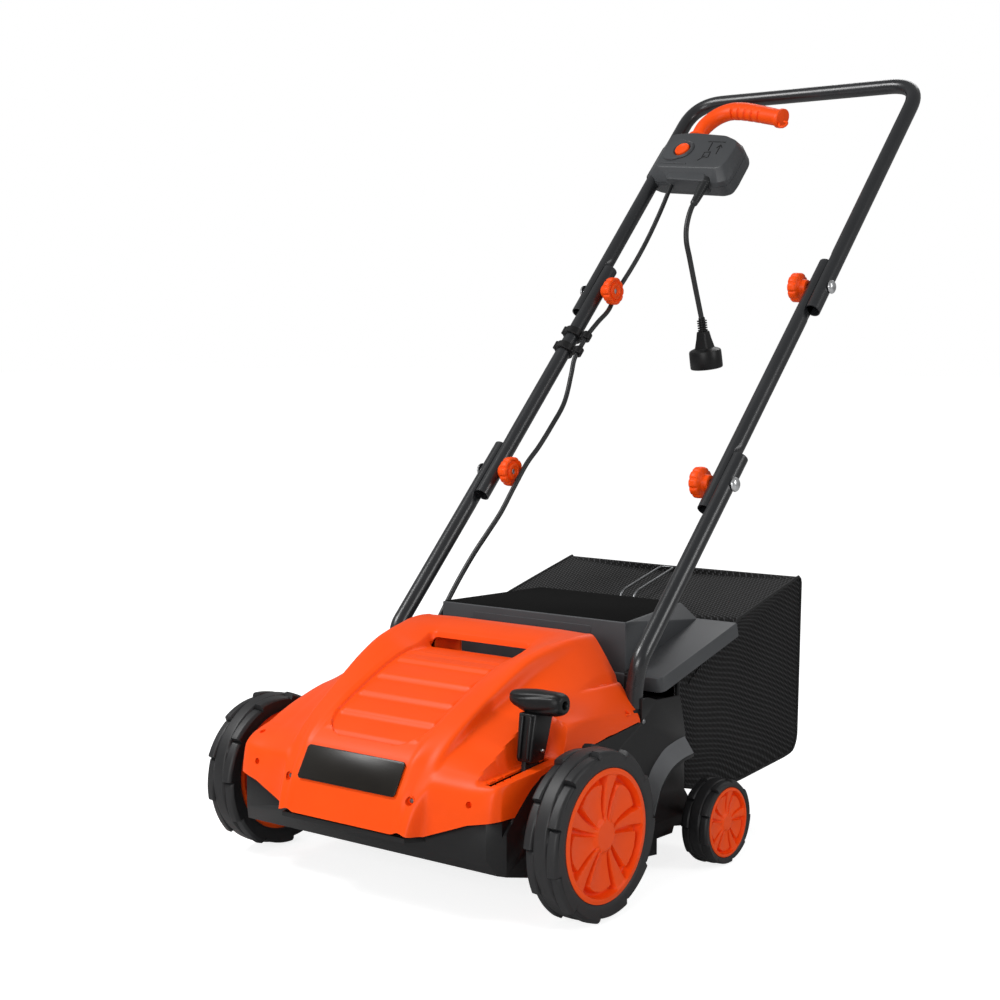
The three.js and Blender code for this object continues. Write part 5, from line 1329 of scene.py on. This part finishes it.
def spring_tine(x, angle):
    """One wire: tip, straight tine, coil round the rod, and the second tine."""
    centre = np.array([REEL_Y + ROD_CIRCLE * math.cos(angle), REEL_Z + ROD_CIRCLE * math.sin(angle)])
    outward = angle + TINE_LEAN
    heading = np.array([math.cos(outward), math.sin(outward)])
    start_angle = outward + math.pi / 2
    first = centre + COIL_RADIUS * np.array([math.cos(start_angle), math.sin(start_angle)])
    points = [(x - TINE_HALF_GAP, *(first + heading * d)) for d in TINE_STATIONS]
    for t in np.linspace(0, COIL_TURNS, COIL_TURNS * 16 + 1):
        a = start_angle + 2 * math.pi * t
        points.append((x - TINE_HALF_GAP + 2 * TINE_HALF_GAP * t / COIL_TURNS,
                       centre[0] + COIL_RADIUS * math.cos(a), centre[1] + COIL_RADIUS * math.sin(a)))
    points += [(x + TINE_HALF_GAP, *(first + heading * d)) for d in reversed(TINE_STATIONS)]
    return round_wire(np.asarray(points, float), 1.3, 6, (0.9, 0.3, 0.3))


for k, degrees in enumerate((45, 135, 225, 315)):
    angle = math.radians(degrees)
    y, z = REEL_Y + ROD_CIRCLE * math.cos(angle), REEL_Z + ROD_CIRCLE * math.sin(angle)
    shapes = [rod((-166, y, z), (166, y, z), 2.6, 12, 0.5)]
    shapes += [spring_tine(DISC_FIRST + DISC_PITCH * (bay + 0.5), angle)
               for bay in range(k % 2, DISC_COUNT - 1, 2)]
    piece(f"tines_{k + 1}", joined(*shapes), STEEL, "reel", (f"tine_rod_{k + 1}",), sharp=60)

# ---------------------------------------------------------------- screws and remaining CAD solids
TUBE_SCREW = [(0.3, 200), (1.8, 200), (1.8, 205.1), (3.2, 205.2), (3.2, 205.8), (2.4, 206.6), (0.3, 206.9)]
for side, flip in SIDES.items():
    piece(f"screw_tube_{side}", flip(turned(TUBE_SCREW, 176, 192, 20)), DARK_STEEL, "deck",
          (f"tube_screw_{side}",))
    piece(f"screw_nose_{side}", flip(rod((96, -125.5, 136), (96, -123, 136), 2.8, 20, 0.5)), DARK_STEEL, "deck",
          (f"nose_screw_{side}",))
CAD_FINISH = {
    "deck_housing": BLACK, "label_plate": LABEL, "belt_cover": BLACK, "motor_can": STEEL, "drive_belt": RUBBER,
    "reel_bearing_left": DARK_STEEL, "reel_bearing_right": DARK_STEEL, "rear_axle": DARK_STEEL,
    "flap_pin": STEEL, "front_axle": DARK_STEEL, "reel_pulley": BLACK, "motor_rotor": DARK_STEEL,
}
for node, material in CAD_FINISH.items():
    from_cad(node, material)

# ---------------------------------------------------------------- floor, light and camera
FLOOR_HALF = 30.0
FLOOR_GLOW = 0.82
FILL_STRENGTH = 0.32
WHITE = (1, 1, 1, 1)
floor_mesh = bpy.data.meshes.new("floor")
floor_mesh.from_pydata([(x * FLOOR_HALF, y * FLOOR_HALF, 0) for x, y in ((-1, -1), (1, -1), (1, 1), (-1, 1))], [],
                       [(0, 1, 2, 3)])
floor = in_scene("floor", floor_mesh)
floor.location.z = -0.0005
floor_paint = node_material("floor_paint", (0.6, 0.6, 0.6), 0.7, spread=0.01, bump=0.0, edge=0.0)
floor_tree = floor_paint.node_tree
seen = add_node(floor_tree, "LightPath", {}).outputs["Is Camera Ray"]
glow = add_node(floor_tree, "Math", {0: seen, 1: FLOOR_GLOW}, operation="MULTIPLY").outputs[0]
feed(floor_tree, floor_tree.nodes["Principled BSDF"], {"Emission Strength": glow, "Emission Color": WHITE})
floor_mesh.materials.append(floor_paint)

world = bpy.data.worlds.new("studio")
bpy.context.scene.world = world
world.use_nodes = True
sky = world.node_tree
fill = feed(sky, sky.nodes["Background"], {"Color": WHITE, "Strength": FILL_STRENGTH}).outputs["Background"]
backdrop = add_node(sky, "Background", {"Color": WHITE, "Strength": 1.0}).outputs["Background"]
seen = add_node(sky, "LightPath", {}).outputs["Is Camera Ray"]
either = add_node(sky, "MixShader", {"Fac": seen, 1: fill, 2: backdrop}).outputs["Shader"]
feed(sky, sky.nodes["World Output"], {"Surface": either})
bpy.context.scene.view_settings.view_transform = "Standard"


def area_light(name, location, target, size, power):
    data = bpy.data.lights.new(name, "AREA")
    data.shape = "RECTANGLE"
    data.size, data.size_y = size
    data.energy = power
    lamp = in_scene(name, data)
    lamp.location = location
    lamp.rotation_mode = "QUATERNION"
    lamp.rotation_quaternion = (Vector(target) - Vector(location)).to_track_quat("-Z", "Y")


area_light("key", (-1.5, -1.7, 2.7), (0, -0.1, 0.3), (1.1, 1.1), 60)
area_light("front", (0.9, -3.2, 1.1), (0, 0, 0.3), (1.6, 0.8), 34)
area_light("side", (2.8, 0.5, 1.5), (0, 0, 0.3), (0.5, 1.6), 20)
area_light("rear", (-0.6, 2.4, 2.4), (0, 0.1, 0.5), (1.6, 0.8), 14)

CAMERA_AZIMUTH, CAMERA_DROP, CAMERA_ROLL = 38.76, 4.97, 0.09
CAMERA_LENS, CAMERA_PLACE = 65.52, (1.43267, -2.01971, 0.65111)
camera_data = bpy.data.cameras.new("camera")
camera_data.lens = CAMERA_LENS
camera_data.sensor_width = 36.0
camera = in_scene("camera", camera_data)
az, el = math.radians(CAMERA_AZIMUTH), math.radians(CAMERA_DROP)
back = Vector((math.sin(az) * math.cos(el), -math.cos(az) * math.cos(el), math.sin(el)))
camera.location = CAMERA_PLACE
camera.rotation_mode = "QUATERNION"
camera.rotation_quaternion = (-back).to_track_quat("-Z", "Y") @ Quaternion((0, 0, 1), math.radians(CAMERA_ROLL))
bpy.context.scene.camera = camera
